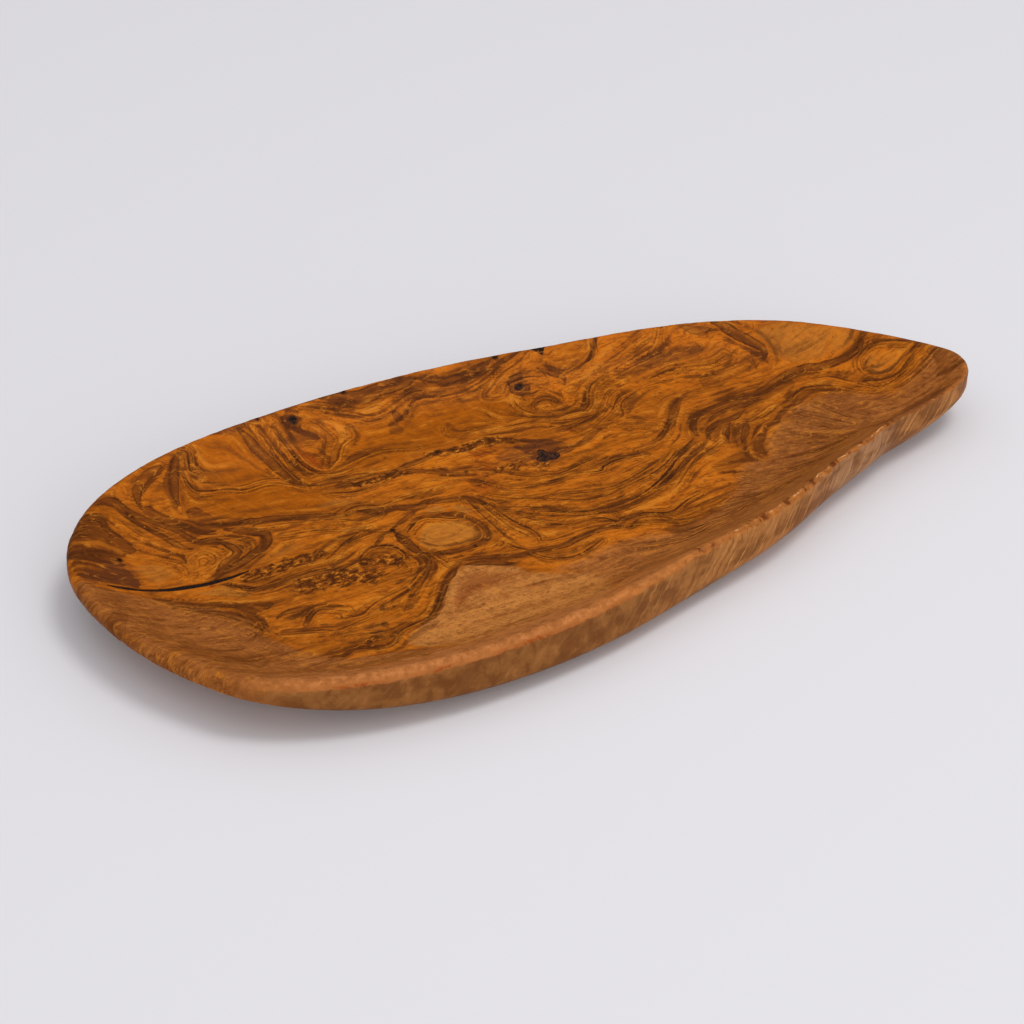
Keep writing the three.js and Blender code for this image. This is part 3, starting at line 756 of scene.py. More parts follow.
def line_places(points, line):
    """Nearest place on a line: distance, run to the nearer end and whether each point is on its left."""
    distance = np.full(len(points), np.inf)
    run = np.zeros(len(points))
    on_left = np.zeros(len(points), bool)
    start = 0.0
    for a, b in zip(line[:-1], line[1:]):
        piece = b - a
        length = np.linalg.norm(piece)
        if length == 0:
            continue
        off = points - a
        share = np.clip(off @ piece / length**2, 0, 1)
        gap = np.linalg.norm(off - share[:, None] * piece, axis=1)
        closer = gap < distance
        distance[closer] = gap[closer]
        run[closer] = start + share[closer] * length
        on_left[closer] = (piece[0] * off[:, 1] - piece[1] * off[:, 0] > 0)[closer]
        start += length
    return distance, np.minimum(run, start - run), on_left


def vein_fields(points):
    """Growth lines at each point: depth in bands, place beside thin lines, shade and blended distance."""
    count = len(points)
    fields = {name: np.full(count, BAND_REACH) for name in ("band", "side", "gap")}
    fields |= {name: np.zeros(count) for name in ("band_ink", "ink", "shade")}
    fields["thin"] = np.ones(count)
    closeness = np.full(count, math.exp(-RING_BLEND * RING_REACH))
    for width, strength, places in VEINS:
        line = spline(places)
        numbers = near(points, line, RING_REACH)
        distance, to_end, on_left = line_places(points[numbers], line)
        local = width * (TAPER_LEAST + (1 - TAPER_LEAST) * smooth_share(to_end / TAPER_LENGTH))
        closeness[numbers] += np.exp(-RING_BLEND * distance)
        shadow = strength * np.exp(-distance / np.where(on_left, SHADE_REACH, SHADE_EDGE))
        fields["shade"][numbers] = np.maximum(fields["shade"][numbers], shadow)
        if width >= BAND_WIDTH:
            values = {"band": distance - local, "band_ink": strength}
            chosen = values["band"] < fields["band"][numbers]
        else:
            side = np.where(on_left, distance, -distance)
            values = {"gap": distance, "side": side, "thin": local, "ink": strength}
            chosen = distance < fields["gap"][numbers]
        for name, value in values.items():
            fields[name][numbers[chosen]] = np.broadcast_to(value, len(numbers))[chosen]
    return fields | {"ring": -np.log(closeness) / RING_BLEND}


def patch_fields(points):
    """Strength of each kind of tint at each point. Dark areas keep their strength apart, as ink."""
    kinds = ("black", *PATCHES)
    fields = {kind: np.zeros(len(points)) for kind in kinds}
    ink = np.zeros(len(points))
    laid = [("black", 1.0, BARK_SOFT, np.array(BARK_POCKET + BARK_POCKET[:1], float))]
    for kind, patches in PATCHES.items():
        laid += [(kind, strength, soft, spline(outline, True)) for strength, soft, outline in patches]
    shares = []
    for kind, strength, soft, outline in laid:
        numbers = near(points, outline, soft)
        depth = line_distance(points[numbers], outline)
        depth[~is_inside(points[numbers], outline[:-1])] *= -1
        shares.append((kind, strength, numbers, smooth_share(0.5 + depth / (2 * soft))))
    for kind, blots in BLOTS.items():
        for strength, radius, place in blots:
            share = np.exp(-((np.linalg.norm(points - place, axis=1) / radius) ** 2))
            shares.append((kind, strength, np.arange(len(points)), share))
    for kind, strength, numbers, share in shares:
        if kind == "dark":
            ink[numbers] = np.where(share > fields[kind][numbers], strength, ink[numbers])
        else:
            share = strength * share
        fields[kind][numbers] = np.maximum(fields[kind][numbers], share)
    return fields | {"dark_ink": ink}


def speckle_field(points):
    """Strength of the burl speckles at each point."""
    field = np.zeros(len(points))
    for width, strength, places in SPECKLES:
        line = spline(places)
        numbers = near(points, line, 2 * width)
        distance = line_distance(points[numbers], line)
        field[numbers] = np.maximum(field[numbers], strength * np.exp(-((distance / width) ** 2)))
    return field


class Sheet:
    """Square grid over the plan, whose values are read in between by blending."""

    LAST_CELL = 1.001

    def __init__(self, spacing):
        self.corner = -np.array((END, SIDE)) - GRAIN_MARGIN
        self.spacing = spacing
        self.shape = tuple(np.ceil(-2 * self.corner / spacing).astype(int) + 2)

    def points(self):
        """Places of the grid's points."""
        across, up = np.meshgrid(*(np.arange(count) for count in self.shape), indexing="ij")
        return np.column_stack((across.ravel(), up.ravel())) * self.spacing + self.corner

    def read(self, values, places):
        """Values at places, blended from the four grid points round each."""
        at = np.clip((places - self.corner) / self.spacing, 0, np.array(self.shape) - self.LAST_CELL)
        i, j = at.astype(int).T
        u, v = (at % 1).T
        lower = values[i, j] * (1 - u) + values[i + 1, j] * u
        upper = values[i, j + 1] * (1 - u) + values[i + 1, j + 1] * u
        return lower * (1 - v) + upper * v


def doubled(run):
    """Direction turned to twice its angle, in which a line has no front or back."""
    x, y = run
    return np.array((x * x - y * y, 2 * x * y))


def grain_runs(sheet):
    """Direction of the grain over the plan: along the nearest veins, and along the slab away from them."""
    points = sheet.points()
    pulls = np.zeros((len(points), 2)) + GRAIN_AXIS_PULL * doubled(GRAIN_AXIS)
    for _, strength, places in VEINS:
        line = spline(places, step=GRAIN_LINE_STEP)
        numbers = near(points, line, 3 * GRAIN_BEND)
        for a, b in zip(line[:-1], line[1:]):
            if np.array_equal(a, b):
                continue
            gap = np.linalg.norm(points[numbers] - (a + b) / 2, axis=1)
            pull = strength * np.exp(-((gap / GRAIN_BEND) ** 2))
            pulls[numbers] += pull[:, None] * doubled(unit(b - a))
    angle = np.arctan2(pulls[:, 1], pulls[:, 0]) / 2
    return np.cos(angle).reshape(sheet.shape), np.sin(angle).reshape(sheet.shape)


def streak_fields(points):
    """Streaks at each point: random spots drawn out along the grain, with a mean of 0 and a spread of 1."""
    plan = Sheet(GRAIN_STEP)
    cosine, sine = grain_runs(plan)
    fields = {}
    for name, (seed, size, reach) in STREAKS.items():
        spots = Sheet(size)
        values = np.random.default_rng(seed).standard_normal(spots.shape)
        total = spots.read(values, points)
        for way in (1, -1):
            at = points.copy()
            heading = np.tile(np.array(GRAIN_AXIS) * way, (len(points), 1))
            for _ in range(reach):
                run = np.column_stack((plan.read(cosine, at), plan.read(sine, at)))
                turned = np.sum(run * heading, axis=1) < 0
                run[turned] *= -1
                heading = run
                at = at + run * GRAIN_STEP
                total = total + spots.read(values, at)
        fields[name] = (total - total.mean()) / total.std()
    return fields


def vertex_vectors(mesh, name):
    """One vector for each point of a mesh, such as its place."""
    values = np.zeros(len(mesh.vertices) * 3, np.float32)
    mesh.vertices.foreach_get(name, values)
    return values.reshape(-1, 3)


def add_figure(mesh):
    """Figure of the wood as values on the mesh's points. Down the outside it leans away from the plan."""
    x, y, z = vertex_vectors(mesh, "co").astype(float).T / MM
    normals = vertex_vectors(mesh, "normal")
    plan = np.column_stack((x, y))
    outwards = np.sum(normals[:, :2] * (plan - nearest_on(*SLAB_AXIS, plan)), axis=1)
    below = np.where(outwards > OUTWARD_LEAST, HEIGHT - z, 0)
    rim = np.where(z > HEIGHT - RIM_BAND, normals[:, 2], 0)
    plan = plan + below[:, None] * np.array(FIGURE_LEAN)
    fields = vein_fields(plan) | patch_fields(plan) | streak_fields(plan)
    fields |= {"speck": speckle_field(plan), "below": below, "rim": rim}
    for name, values in fields.items():
        layer = mesh.attributes.new(name, "FLOAT", "POINT")
        layer.data.foreach_set("value", values.astype(np.float32))


def linear(red, green, blue):
    """Colour for a shader from 8-bit screen values, by the curve of the sRGB standard."""
    def channel(value):
        share = value / 255
        return share / 12.92 if share <= 0.04045 else ((share + 0.055) / 1.055) ** 2.4
    return (channel(red), channel(green), channel(blue), 1.0)


# Colours of the oiled wood, of its flaws and of the stage, as 8-bit screen values
AMBER = linear(156, 79, 3)
ORANGE = linear(198, 106, 18)
HONEY = linear(170, 90, 12)
# Pale streaks of grain, which also stand for painted glints of light off the fibres
PALE_GRAIN_AND_PAINTED_GLINT = linear(210, 128, 36)
PALE = linear(186, 114, 40)
SAPWOOD = linear(196, 128, 62)
SAPWOOD_BROWN = linear(152, 88, 40)
TAN = linear(168, 103, 50)
TAN_BROWN = linear(138, 79, 35)
BAND_BROWN = linear(104, 53, 15)
VEIN_BROWN = linear(60, 27, 7)
PURPLE = linear(88, 46, 26)
RED = linear(136, 44, 6)
BLACK = linear(24, 13, 7)
LIP_BROWN = linear(190, 118, 61)
LIP_DARK = linear(158, 95, 47)
# Painted highlight on the rounded lip
LIP_PAINTED_HIGHLIGHT = linear(190, 128, 88)
LIP_RED = linear(138, 60, 12)
# Painted light that lifts the shade of the near cove
COVE_PAINTED_LIGHT = linear(190, 120, 62)
WALL_OLIVE = linear(132, 84, 41)
WALL_TAN = linear(162, 105, 55)
WALL_BROWN = linear(104, 60, 27)
WALL_GREY = linear(152, 112, 80)
WALL_PALE = linear(198, 142, 82)
NOTCH = linear(92, 40, 14)
# Painted glint along the sharp crest
CREST_PAINTED_GLINT = linear(232, 178, 122)
CHECK_BLACK = linear(15, 8, 5)
CHECK_DUST = linear(44, 26, 15)
HEART_BLACK = linear(26, 14, 9)
HEART_DUST = linear(92, 52, 30)
# Painted glints of light reflected from the resin
RESIN_PAINTED_GLINT = linear(150, 128, 100)
KNOT_BLACK = linear(30, 16, 8)
KNOT_BROWN = linear(84, 48, 24)
KNOT_CRACK = linear(18, 10, 6)
FLOOR_COLOR = linear(225, 224, 226)

# How much of the surroundings each surface reflects
WOOD_GLOSS = 0.03
RESIN_GLOSS = 0.1
KNOT_GLOSS = 0.08
FLOOR_GLOSS = 0.2
FLOOR_ROUGHNESS = 0.7

# Thin lines that go with each growth line: distance beside it, strength and colour. The last is a painted
# glint of light beside the line.
COMPANIONS = ((1.5, 0.75, VEIN_BROWN), (-1.7, 0.55, VEIN_BROWN), (2.6, 0.5, VEIN_BROWN), (0.8, 0.25, PALE_GRAIN_AND_PAINTED_GLINT))


class Wire:
    """Value that a node gives. Plain arithmetic on it makes further nodes."""

    def __init__(self, graph, socket):
        self.graph = graph
        self.socket = socket

    def __add__(self, other):
        return self.graph.math("ADD", self, other)

    def __sub__(self, other):
        return self.graph.math("SUBTRACT", self, other)

    def __mul__(self, other):
        return self.graph.math("MULTIPLY", self, other)

    def __truediv__(self, other):
        return self.graph.math("DIVIDE", self, other)

    def __abs__(self):
        return self.graph.math("ABSOLUTE", self)

    __radd__ = __add__
    __rmul__ = __mul__


class Graph:
    """Node material under construction, with its place in millimetres."""

    def __init__(self, name, gloss):
        self.material = bpy.data.materials.new(name)
        self.material.use_nodes = True
        self.tree = self.material.node_tree
        self.shader = self.tree.nodes["Principled BSDF"].inputs
        self.shader["Specular IOR Level"].default_value = gloss
        metres = self.made("ShaderNodeTexCoord", "Object", {})
        self.place = self.made("ShaderNodeVectorMath", 0, {0: metres, "Scale": 1 / MM}, operation="SCALE")
        self.x, self.y, self.z = (self.made("ShaderNodeSeparateXYZ", k, {0: self.place}) for k in range(3))

    def put(self, socket, value):
        """Links a value to a socket, or sets a plain one."""
        if isinstance(value, Wire):
            self.tree.links.new(value.socket, socket)
        else:
            socket.default_value = value

    def made(self, kind, output, inputs, **settings):
        """Output of a new node with its settings and inputs in place."""
        node = self.tree.nodes.new(kind)
        for key, value in settings.items():
            setattr(node, key, value)
        for key, value in inputs.items():
            self.put(node.inputs[key], value)
        return Wire(self, node.outputs[output])

    def vector(self, x, y, z=0.0):
        """Vector of three values."""
        return self.made("ShaderNodeCombineXYZ", 0, {0: x, 1: y, 2: z})

    def field(self, name):
        """Values that the mesh holds under a name."""
        return self.made("ShaderNodeAttribute", "Fac", {}, attribute_name=name)

    def math(self, operation, a, b=0.0):
        """Result of a sum with one or two values."""
        return self.made("ShaderNodeMath", 0, {0: a, 1: b}, operation=operation)

    def larger(self, a, b):
        """Larger of two values."""
        return self.math("MAXIMUM", a, b)

    def around(self, value, amount):
        """Noise made to swing about 0."""
        return (value - 0.5) * amount

    def noise(self, vector, detail=2.0, roughness=0.5, scale=1.0):
        """Smooth noise between 0 and 1."""
        inputs = {"Vector": vector, "Scale": scale, "Detail": detail, "Roughness": roughness}
        return self.made("ShaderNodeTexNoise", "Fac", inputs, noise_dimensions="3D")

    def cells(self, scale):
        """Distance to the nearest of many scattered points."""
        inputs = {"Vector": self.place, "Scale": scale}
        return self.made("ShaderNodeTexVoronoi", "Distance", inputs, feature="F1")

    def step(self, value, low, high, start=0.0, end=1.0):
        """Soft step from start at the low limit to end at the high limit, which may be the smaller number."""
        inputs = {"Value": value, "From Min": low, "From Max": high, "To Min": start, "To Max": end}
        return self.made("ShaderNodeMapRange", "Result", inputs, interpolation_type="SMOOTHSTEP")

    def mix(self, share, first, second):
        """Colour between two."""
        return self.made("ShaderNodeMix", 2, {"Factor": share, 6: first, 7: second}, data_type="RGBA")

    def grained(self, color, value, share, *tints):
        """Colour with tints at the ends of a value: limits from none to most, most and tint of each."""
        for low, high, most, tint in tints:
            color = self.mix(share * self.step(value, low, high, 0.0, most), color, tint)
        return color

    def finish(self, color, roughness, relief, strength, depth):
        """Material with its colour, roughness and bump, whose depth is in millimetres."""
        inputs = {"Height": relief, "Strength": strength, "Distance": depth * MM}
        self.put(self.shader["Normal"], self.made("ShaderNodeBump", "Normal", inputs))
        self.put(self.shader["Base Color"], color)
        self.put(self.shader["Roughness"], roughness)
        return self.material


class Noises(NamedTuple):
    """Unevenness that the parts of the wood share: noise from coarse to fine, and fine and broad streaks."""

    wobble: Wire
    waver: Wire
    crumble: Wire
    streak: Wire
    strand: Wire


# In the looks below, g is the material's graph and n its noises. Factors on x, y and z set how fine a
# pattern is along each axis, and the other numbers are limits and shares tuned from the photograph.
def ground(g, n):
    """Ground colour of the wood: honey to orange in strands, with amber, pale, sapwood and red areas."""
    color = g.mix(g.step(n.strand, -1.3, 1.3), HONEY, ORANGE)
    color = g.mix(g.field("amber") * 0.8, color, AMBER)
    pale = g.step(g.field("pale") + g.around(n.wobble, 0.3) + n.streak * 0.06, 0.30, 0.70)
    color = g.mix(pale * 0.85, color, PALE)
    clouds = n.strand * 0.5 + g.around(n.wobble, 3.0) + g.around(n.waver, 2.0)
    sap = g.step(g.field("sap") + g.around(n.wobble, 0.35), 0.25, 0.65)
    color = g.mix(sap * 0.92, color, g.mix(g.step(clouds, -1.3, 0.6), SAPWOOD_BROWN, SAPWOOD))
    tan = g.step(g.field("tan") + g.around(n.wobble, 0.35), 0.25, 0.65)
    color = g.mix(tan * 0.88, color, g.mix(g.step(clouds, -1.3, 0.8), TAN_BROWN, TAN))
    rough = g.larger(sap, tan)
    crumbs = g.vector(g.x * 0.45 + g.y * -0.25, (g.y + g.x * 0.2) * 0.75, g.z * 0.2)
    crumbs = g.noise(crumbs, 4.0, 0.75)
    color = g.grained(color, crumbs, rough, (0.50, 0.64, 0.75, SAPWOOD_BROWN), (0.46, 0.34, 0.60, SAPWOOD))
    right_end = g.step(g.x, *RIGHT_SHADE_START) * g.step(g.x, *RIGHT_SHADE_END)
    right_end = right_end * g.step(g.y, *RIGHT_SHADE_FAR)
    ends = g.larger(g.step(g.x, *BROAD_SHADE), right_end)
    color = g.mix(ends * 0.22, color, BAND_BROWN)
    red = g.step(g.field("red") + n.streak * 0.12, 0.15, 0.80)
    color = g.mix(red * 0.65, color, RED)
    ripples = g.vector(g.x * 0.60 + g.y * 0.18 + n.wobble * 1.5, g.y * 0.07, g.z * 0.2)
    ripples = g.noise(ripples, 3.0, 0.6)
    rippled = 0.18 + red * 0.65
    color = g.grained(color, ripples, rippled, (0.50, 0.66, 1.0, BAND_BROWN), (0.46, 0.32, 1.0, PALE_GRAIN_AND_PAINTED_GLINT))
    grain = n.streak * g.step(rough, 0.0, 1.0, 1.0, 0.6)
    return g.grained(color, grain, 1.0, (0.1, 2.2, 0.50, BAND_BROWN), (-0.5, -2.4, 0.40, PALE_GRAIN_AND_PAINTED_GLINT))


def dark_areas(g, n, color):
    """Brown and purple areas with streaked insides and dark borders, and the soft shade beside the veins."""
    ink = g.field("dark_ink")
    edge = g.field("dark") + g.around(n.waver, 0.3) + n.streak * 0.09
    inside = g.step(edge, 0.40, 0.60) * ink
    color = g.mix(inside * g.step(n.streak, -1.6, 1.0, 0.55, 1.35), color, BAND_BROWN)
    color = g.mix(inside * g.step(n.streak, 0.2, 1.8, 0.0, 0.9), color, VEIN_BROWN)
    border = g.step(abs(edge - 0.52), 0.12, 0.03) * ink
    color = g.mix(border * g.step(n.wobble, 0.42, 0.62, 0.0, 0.9), color, VEIN_BROWN)
    purple = g.step(g.field("purple") + n.streak * 0.15 + g.around(n.wobble, 0.6), 0.10, 0.95)
    color = g.mix(purple * 0.66, color, PURPLE)
    shade = g.field("shade") * g.step(n.streak, -1.5, 1.2, 0.25, 0.85)
    color = g.mix(shade, color, BAND_BROWN)
    quiet = g.field("amber") * 0.7 + g.field("sap") + g.field("tan")
    busy = g.step(g.field("ring"), 6.0, 0.5) * g.step(quiet, 0.0, 1.0, 1.0, 0.25)
    frayed = n.streak + g.around(n.crumble, 0.8)
    return g.grained(color, frayed, busy, (0.5, 1.6, 0.6, VEIN_BROWN), (-0.9, -2.0, 0.5, PALE_GRAIN_AND_PAINTED_GLINT))


def bands(g, n, color):
    """Broad growth lines: brown bands with frayed edges, dark threads inside and dark borders."""
    ink = g.field("band_ink")
    edge = g.field("band") + g.around(n.crumble, 0.7) + n.streak * 0.35
    inside = g.step(edge, 0.30, -0.30) * ink
    color = g.mix(inside * g.step(n.streak, -2.0, 1.0, 0.7, 1.15), color, BAND_BROWN)
    color = g.mix(inside * g.step(n.streak, 0.3, 1.6, 0.0, 0.65), color, VEIN_BROWN)
    border = g.step(abs(edge + 0.35), 0.60, 0.12) * ink
    return g.mix(border * g.step(n.wobble, 0.40, 0.60, 0.15, 0.95), color, VEIN_BROWN)


def growth_lines(g, n, color):
    """Thin growth lines that swell and break, with weaker lines and painted glints of light beside them."""
    ink, side, gap = g.field("ink"), g.field("side"), g.field("gap")
    lines = g.noise(g.vector(side * 0.75, g.x * 0.05, g.y * 0.05), 2.0, 0.6)
    close = g.step(gap, 9.0, 3.0) * ink
    color = g.grained(color, lines, close, (0.53, 0.64, 0.75, VEIN_BROWN), (0.46, 0.34, 0.35, PALE_GRAIN_AND_PAINTED_GLINT))
    there = g.step(gap, 3.8, 3.0) * g.step(n.crumble, 0.36, 0.58, 0.1, 1.0) * ink
    for offset, strength, tint in COMPANIONS:
        away = abs(side + g.around(n.wobble, 2.2) + offset)
        color = g.mix(g.step(away, 0.48, 0.10) * there * strength, color, tint)
    away = abs(side + g.around(n.waver, 0.9))
    width = g.field("thin") * g.step(n.wobble, 0.35, 0.65, 0.4, 0.95)
    line = g.step(away / width, 1.15, 0.35) * g.step(gap, 2.6, 1.6)
    line = line * ink * g.step(n.streak, -1.5, 0.5, 0.55, 1.15)
    return g.mix(line, color, VEIN_BROWN), line


def burl(g, n, color):
    """Clumps of burl speckles, and black spots of bark and rot."""
    clump = g.step(g.field("speck") + g.around(n.wobble, 1.6), 0.25, 0.60)
    color = g.mix(clump * 0.55, color, BAND_BROWN)
    curls = g.noise(g.vector(g.x * 0.34, g.y * 0.50, g.z), 3.0, 0.65)
    color = g.grained(color, curls, clump, (0.47, 0.55, 0.9, VEIN_BROWN), (0.44, 0.36, 0.85, PALE_GRAIN_AND_PAINTED_GLINT))
    black = g.step(g.field("black") + g.around(n.crumble, 0.6), 0.28, 0.75)
    return g.mix(black, color, BLACK)


def near_lip(g, n, color, near_side, left):
    """Lip of the near side, brown and mottled, and painted light on the cove inside it on the right, which
    lifts the cove's shade.
    """
    below = g.field("below")
    tint = g.mix(g.step(n.waver * 0.5 + n.wobble * 0.5, 0.38, 0.60), LIP_DARK, LIP_BROWN)
    tint = g.mix(g.step(n.crumble, 0.56, 0.70, 0.0, 0.4), tint, BAND_BROWN)
    start = LIP_START + left * LIP_DROP_LEFT
    lip = g.step(g.z + g.around(n.wobble, 5.0) * left, start, start + LIP_FADE)
    lip = g.larger(lip, g.step(below, *OUTER_LIP)) * near_side
    color = g.mix(lip * g.step(left, 0.0, 1.0, 0.3, 0.85), color, tint)
    # Painted light: the cove on the right is brightened towards a pale tan, against its shade
    cove = g.step(g.z, *COVE_RISE) * g.step(below, *COVE_INSIDE) * g.step(g.x, *COVE_END)
    cove = cove * near_side * g.field("tan") * g.step(left, 1.0, 0.0)
    return g.mix(cove * 0.30, color, COVE_PAINTED_LIGHT)


def near_wall(g, n, color, near_side, left):
    """Outside of the near edge: red roll under the lip on the left, and wall from olive to tan and grey."""
    below = g.field("below")
    depth = below + g.around(n.wobble, 2.4)
    color = g.mix(g.step(below, *ROLL_SHADE) * near_side * left * 0.4, color, LIP_DARK)
    runs = g.noise(g.vector(g.x * 0.035, 0.0))
    roll = g.step(depth, *ROLL_DROP) * g.step(left, 0.0, 1.0, 0.3, 1.0) * near_side
    roll = roll * g.step(runs, 0.44, 0.58, 0.1, 0.85) * g.step(n.waver, 0.40, 0.58, 0.2, 1.0)
    color = g.mix(roll, color, LIP_RED)
    reach = g.x + g.y * 0.4
    threads = g.vector((reach + g.z * -0.8) * 0.46 + n.wobble * 2.0, g.z * 0.04)
    threads = g.noise(threads, 5.0, 0.72)
    smudges = g.noise(g.vector(reach * 0.16, 0.0, g.z * 0.10), 4.0, 0.65)
    patches = g.noise(g.vector(reach * 0.05, 0.0, g.z * 0.10), 3.0, 0.55)
    tint = g.mix(left, WALL_TAN, WALL_OLIVE)
    grey = g.step(g.x, *GREY_START) * g.step(g.x, *GREY_END) * g.step(g.z, *GREY_RISE, 0.15, 0.8)
    tint = g.mix(grey, tint, WALL_GREY)
    tint = g.grained(tint, patches, 1.0, (0.56, 0.40, 0.7, WALL_BROWN))
    tint = g.grained(tint, smudges, left, (0.52, 0.38, 0.8, WALL_BROWN), (0.54, 0.68, 0.5, WALL_TAN))
    hair = g.step(left, 0.0, 1.0, 1.0, 0.15)
    tint = g.grained(tint, threads, hair, (0.50, 0.38, 0.7, WALL_BROWN), (0.53, 0.64, 0.6, WALL_PALE))
    start = WALL_START + left * WALL_DROP_LEFT
    wall = g.step(depth, start, start + WALL_FADE) * near_side
    return g.mix(wall * 0.95, color, tint)


def near_crest(g, n, color, near_side, left):
    """Crest of the near edge: dark notches and a painted glint along the rim on the right, painted highlights
    on the left.
    """
    rim = g.field("rim") * near_side * g.step(left, 0.8, 0.0) * g.step(g.x, *SHARP_END)
    notches = g.noise(g.vector(g.x * 0.13, g.y * 0.06), 5.0, 0.75)
    color = g.grained(color, notches, g.step(rim, 0.50, 0.85), (0.52, 0.60, 0.85, NOTCH))
    # Painted glint of light in a broken line along the sharp rim
    color = g.grained(color, notches, g.step(rim, 0.95, 0.995), (0.50, 0.40, 0.75, CREST_PAINTED_GLINT))
    crest = g.step(g.field("below"), *CREST_DROP) * near_side * g.step(g.z, *CREST_RISE)
    crest = crest * g.step(left, 0.0, 1.0, g.step(n.crumble, 0.50, 0.62), g.step(n.wobble, 0.38, 0.65))
    # Painted highlight: pinkish patches on the rounded crest on the left
    painted_highlight = crest * left * g.step(n.waver, 0.45, 0.65, 0.0, 0.25)
    return g.mix(painted_highlight, color, LIP_PAINTED_HIGHLIGHT), crest


def olive_wood():
    """Oiled olive wood: ground, dark areas, bands and growth lines, burl, fibres and the natural edge."""
    g = Graph("olive_wood", WOOD_GLOSS)
    n = Noises(
        wobble=g.noise(g.place, 3.0, 0.6, scale=0.22),
        waver=g.noise(g.place, 3.0, 0.6, scale=0.5),
        crumble=g.noise(g.place, 3.0, 0.65, scale=1.3),
        streak=g.field("streak"),
        strand=g.field("strand"),
    )
    color = dark_areas(g, n, ground(g, n))
    color, line = growth_lines(g, n, bands(g, n, color))
    color = burl(g, n, color)
    across = g.y + g.x * 0.17 + n.streak * 0.7
    fibre = g.noise(g.vector(g.x * 0.12, across * 0.8, g.z * 0.2), 4.0, 0.72)
    pores = g.noise(g.vector(g.x * 0.30, across * 1.1, g.z * 0.2), 2.0, 0.6)
    smooth = g.larger(g.larger(g.field("amber"), g.field("sap")), g.field("pale"))
    clear = g.step(smooth, 0.0, 1.0, 1.0, 0.45)
    color = g.grained(color, fibre, clear, (0.47, 0.64, 0.64, BAND_BROWN), (0.45, 0.30, 0.55, PALE_GRAIN_AND_PAINTED_GLINT))
    color = g.grained(color, pores, 1.0, (0.62, 0.72, 0.45, VEIN_BROWN))
    near_side = g.step(g.y + g.x * NEAR_SLOPE, *NEAR_PART)
    left = g.step(g.x, *LEFT_PART)
    color = near_lip(g, n, color, near_side, left)
    color = near_wall(g, n, color, near_side, left)
    color, crest = near_crest(g, n, color, near_side, left)
    relief = n.streak * 0.12 + fibre * 0.4 + n.waver * crest * 1.5 - line * 0.4
    roughness = g.step(crest, 0.0, 1.0, 0.38, 0.26) + n.wobble * 0.10 + line * 0.05
    return g.finish(color, roughness, relief, strength=0.25, depth=0.3)


def dark_resin():
    """Black resin in the flaws, polished flush, with dust in it and painted glints of reflected light."""
    g = Graph("dark_resin", RESIN_GLOSS)
    grit = g.noise(g.place, 4.0, 0.7, scale=0.9)
    heart = g.step(g.x, *HEART_SIDE)
    color = g.mix(heart, CHECK_BLACK, HEART_BLACK)
    color = g.mix(g.step(grit, 0.40, 0.72), color, g.mix(heart, CHECK_DUST, HEART_DUST))
    # Painted glints of reflected light on the resin
    color = g.mix(g.step(g.noise(g.place, 3.0, 0.7, scale=0.55), 0.68, 0.78), color, RESIN_PAINTED_GLINT)
    relief = grit + g.cells(0.9) * 0.6
    return g.finish(color, g.step(grit, 0.3, 0.8, 0.30, 0.55), relief, strength=0.5, depth=0.5)


def dead_knot():
    """Dead knot: nearly black end grain with fine cracks, browner towards its border."""
    g = Graph("dead_knot", KNOT_GLOSS)
    grit = g.noise(g.place, 4.0, 0.7, scale=1.1)
    cracks = g.cells(1.0)
    color = g.mix(g.step(grit, 0.35, 0.75), KNOT_BLACK, KNOT_BROWN)
    color = g.mix(g.step(cracks, 0.42, 0.62), color, KNOT_CRACK)
    for middle_x, middle_y, across, down in (KNOT_LEFT, KNOT_RIGHT):
        aside = (g.x - middle_x) / across
        ahead = (g.y - middle_y) / down
        from_middle = aside * aside + ahead * ahead
        border = g.step(from_middle + g.around(grit, 0.8), 0.35, 1.0) * g.step(from_middle, 9.0, 4.0)
        color = g.mix(border * 0.8, color, BAND_BROWN)
    return g.finish(color, g.step(grit, 0.3, 0.8, 0.45, 0.65), grit + cracks, strength=0.5, depth=0.4)


def new_object(name, data):
    """Object in the scene with a mesh, light or camera."""
    made = bpy.data.objects.new(name, data)
    bpy.context.scene.collection.objects.link(made)
    return made


def boolean(piece, cutter, operation):
    """Cuts a piece with another and keeps the result as its mesh."""
    modifier = piece.modifiers.new("cut", "BOOLEAN")
    modifier.object = cutter
    modifier.operation = operation
    modifier.solver = "MANIFOLD"
    graph = bpy.context.evaluated_depsgraph_get()
    made = bpy.data.meshes.new_from_object(piece.evaluated_get(graph))
    piece.modifiers.clear()
    piece.data = made


def ragged(outline, seed):
    """Outline whose points are moved a little, so that no flaw has a clean edge."""
    middle = outline.mean(axis=0)
    made = []
    for point in outline:
        shift = noise.noise(Vector((*point * RAGGED_SCALE, seed)))
        made.append(point + unit(point - middle) * shift * RAGGED)
    return np.array(made)


def check_outline():
    """Sliver along the drying check, with its own width at each place."""
    line = np.array(CHECK_LINE)
    run = unit(np.gradient(line, axis=0))
    across = np.column_stack((-run[:, 1], run[:, 0])) * np.array(CHECK_WIDTHS)[:, None]
    far_side, near_side = (spline(side, step=CHECK_STEP) for side in (line + across, line - across))
    return np.vstack((far_side, near_side[::-1]))


def knot_outline(x, y, across, down):
    """Ellipse round a knot."""
    turn = np.linspace(0, 2 * math.pi, KNOT_CORNERS, endpoint=False)
    return np.column_stack((x + across * np.cos(turn), y + down * np.sin(turn)))


def turns_left(outline):
    """Whether an outline runs counterclockwise."""
    x, y = outline.T
    return np.sum(x * np.roll(y, -1) - y * np.roll(x, -1)) > 0


def grown(outline, amount):
    """Outline moved outwards by an amount."""
    run = unit(np.roll(outline, -1, axis=0) - np.roll(outline, 1, axis=0))
    right = np.column_stack((run[:, 1], -run[:, 0]))
    return outline + right * (amount if turns_left(outline) else -amount)


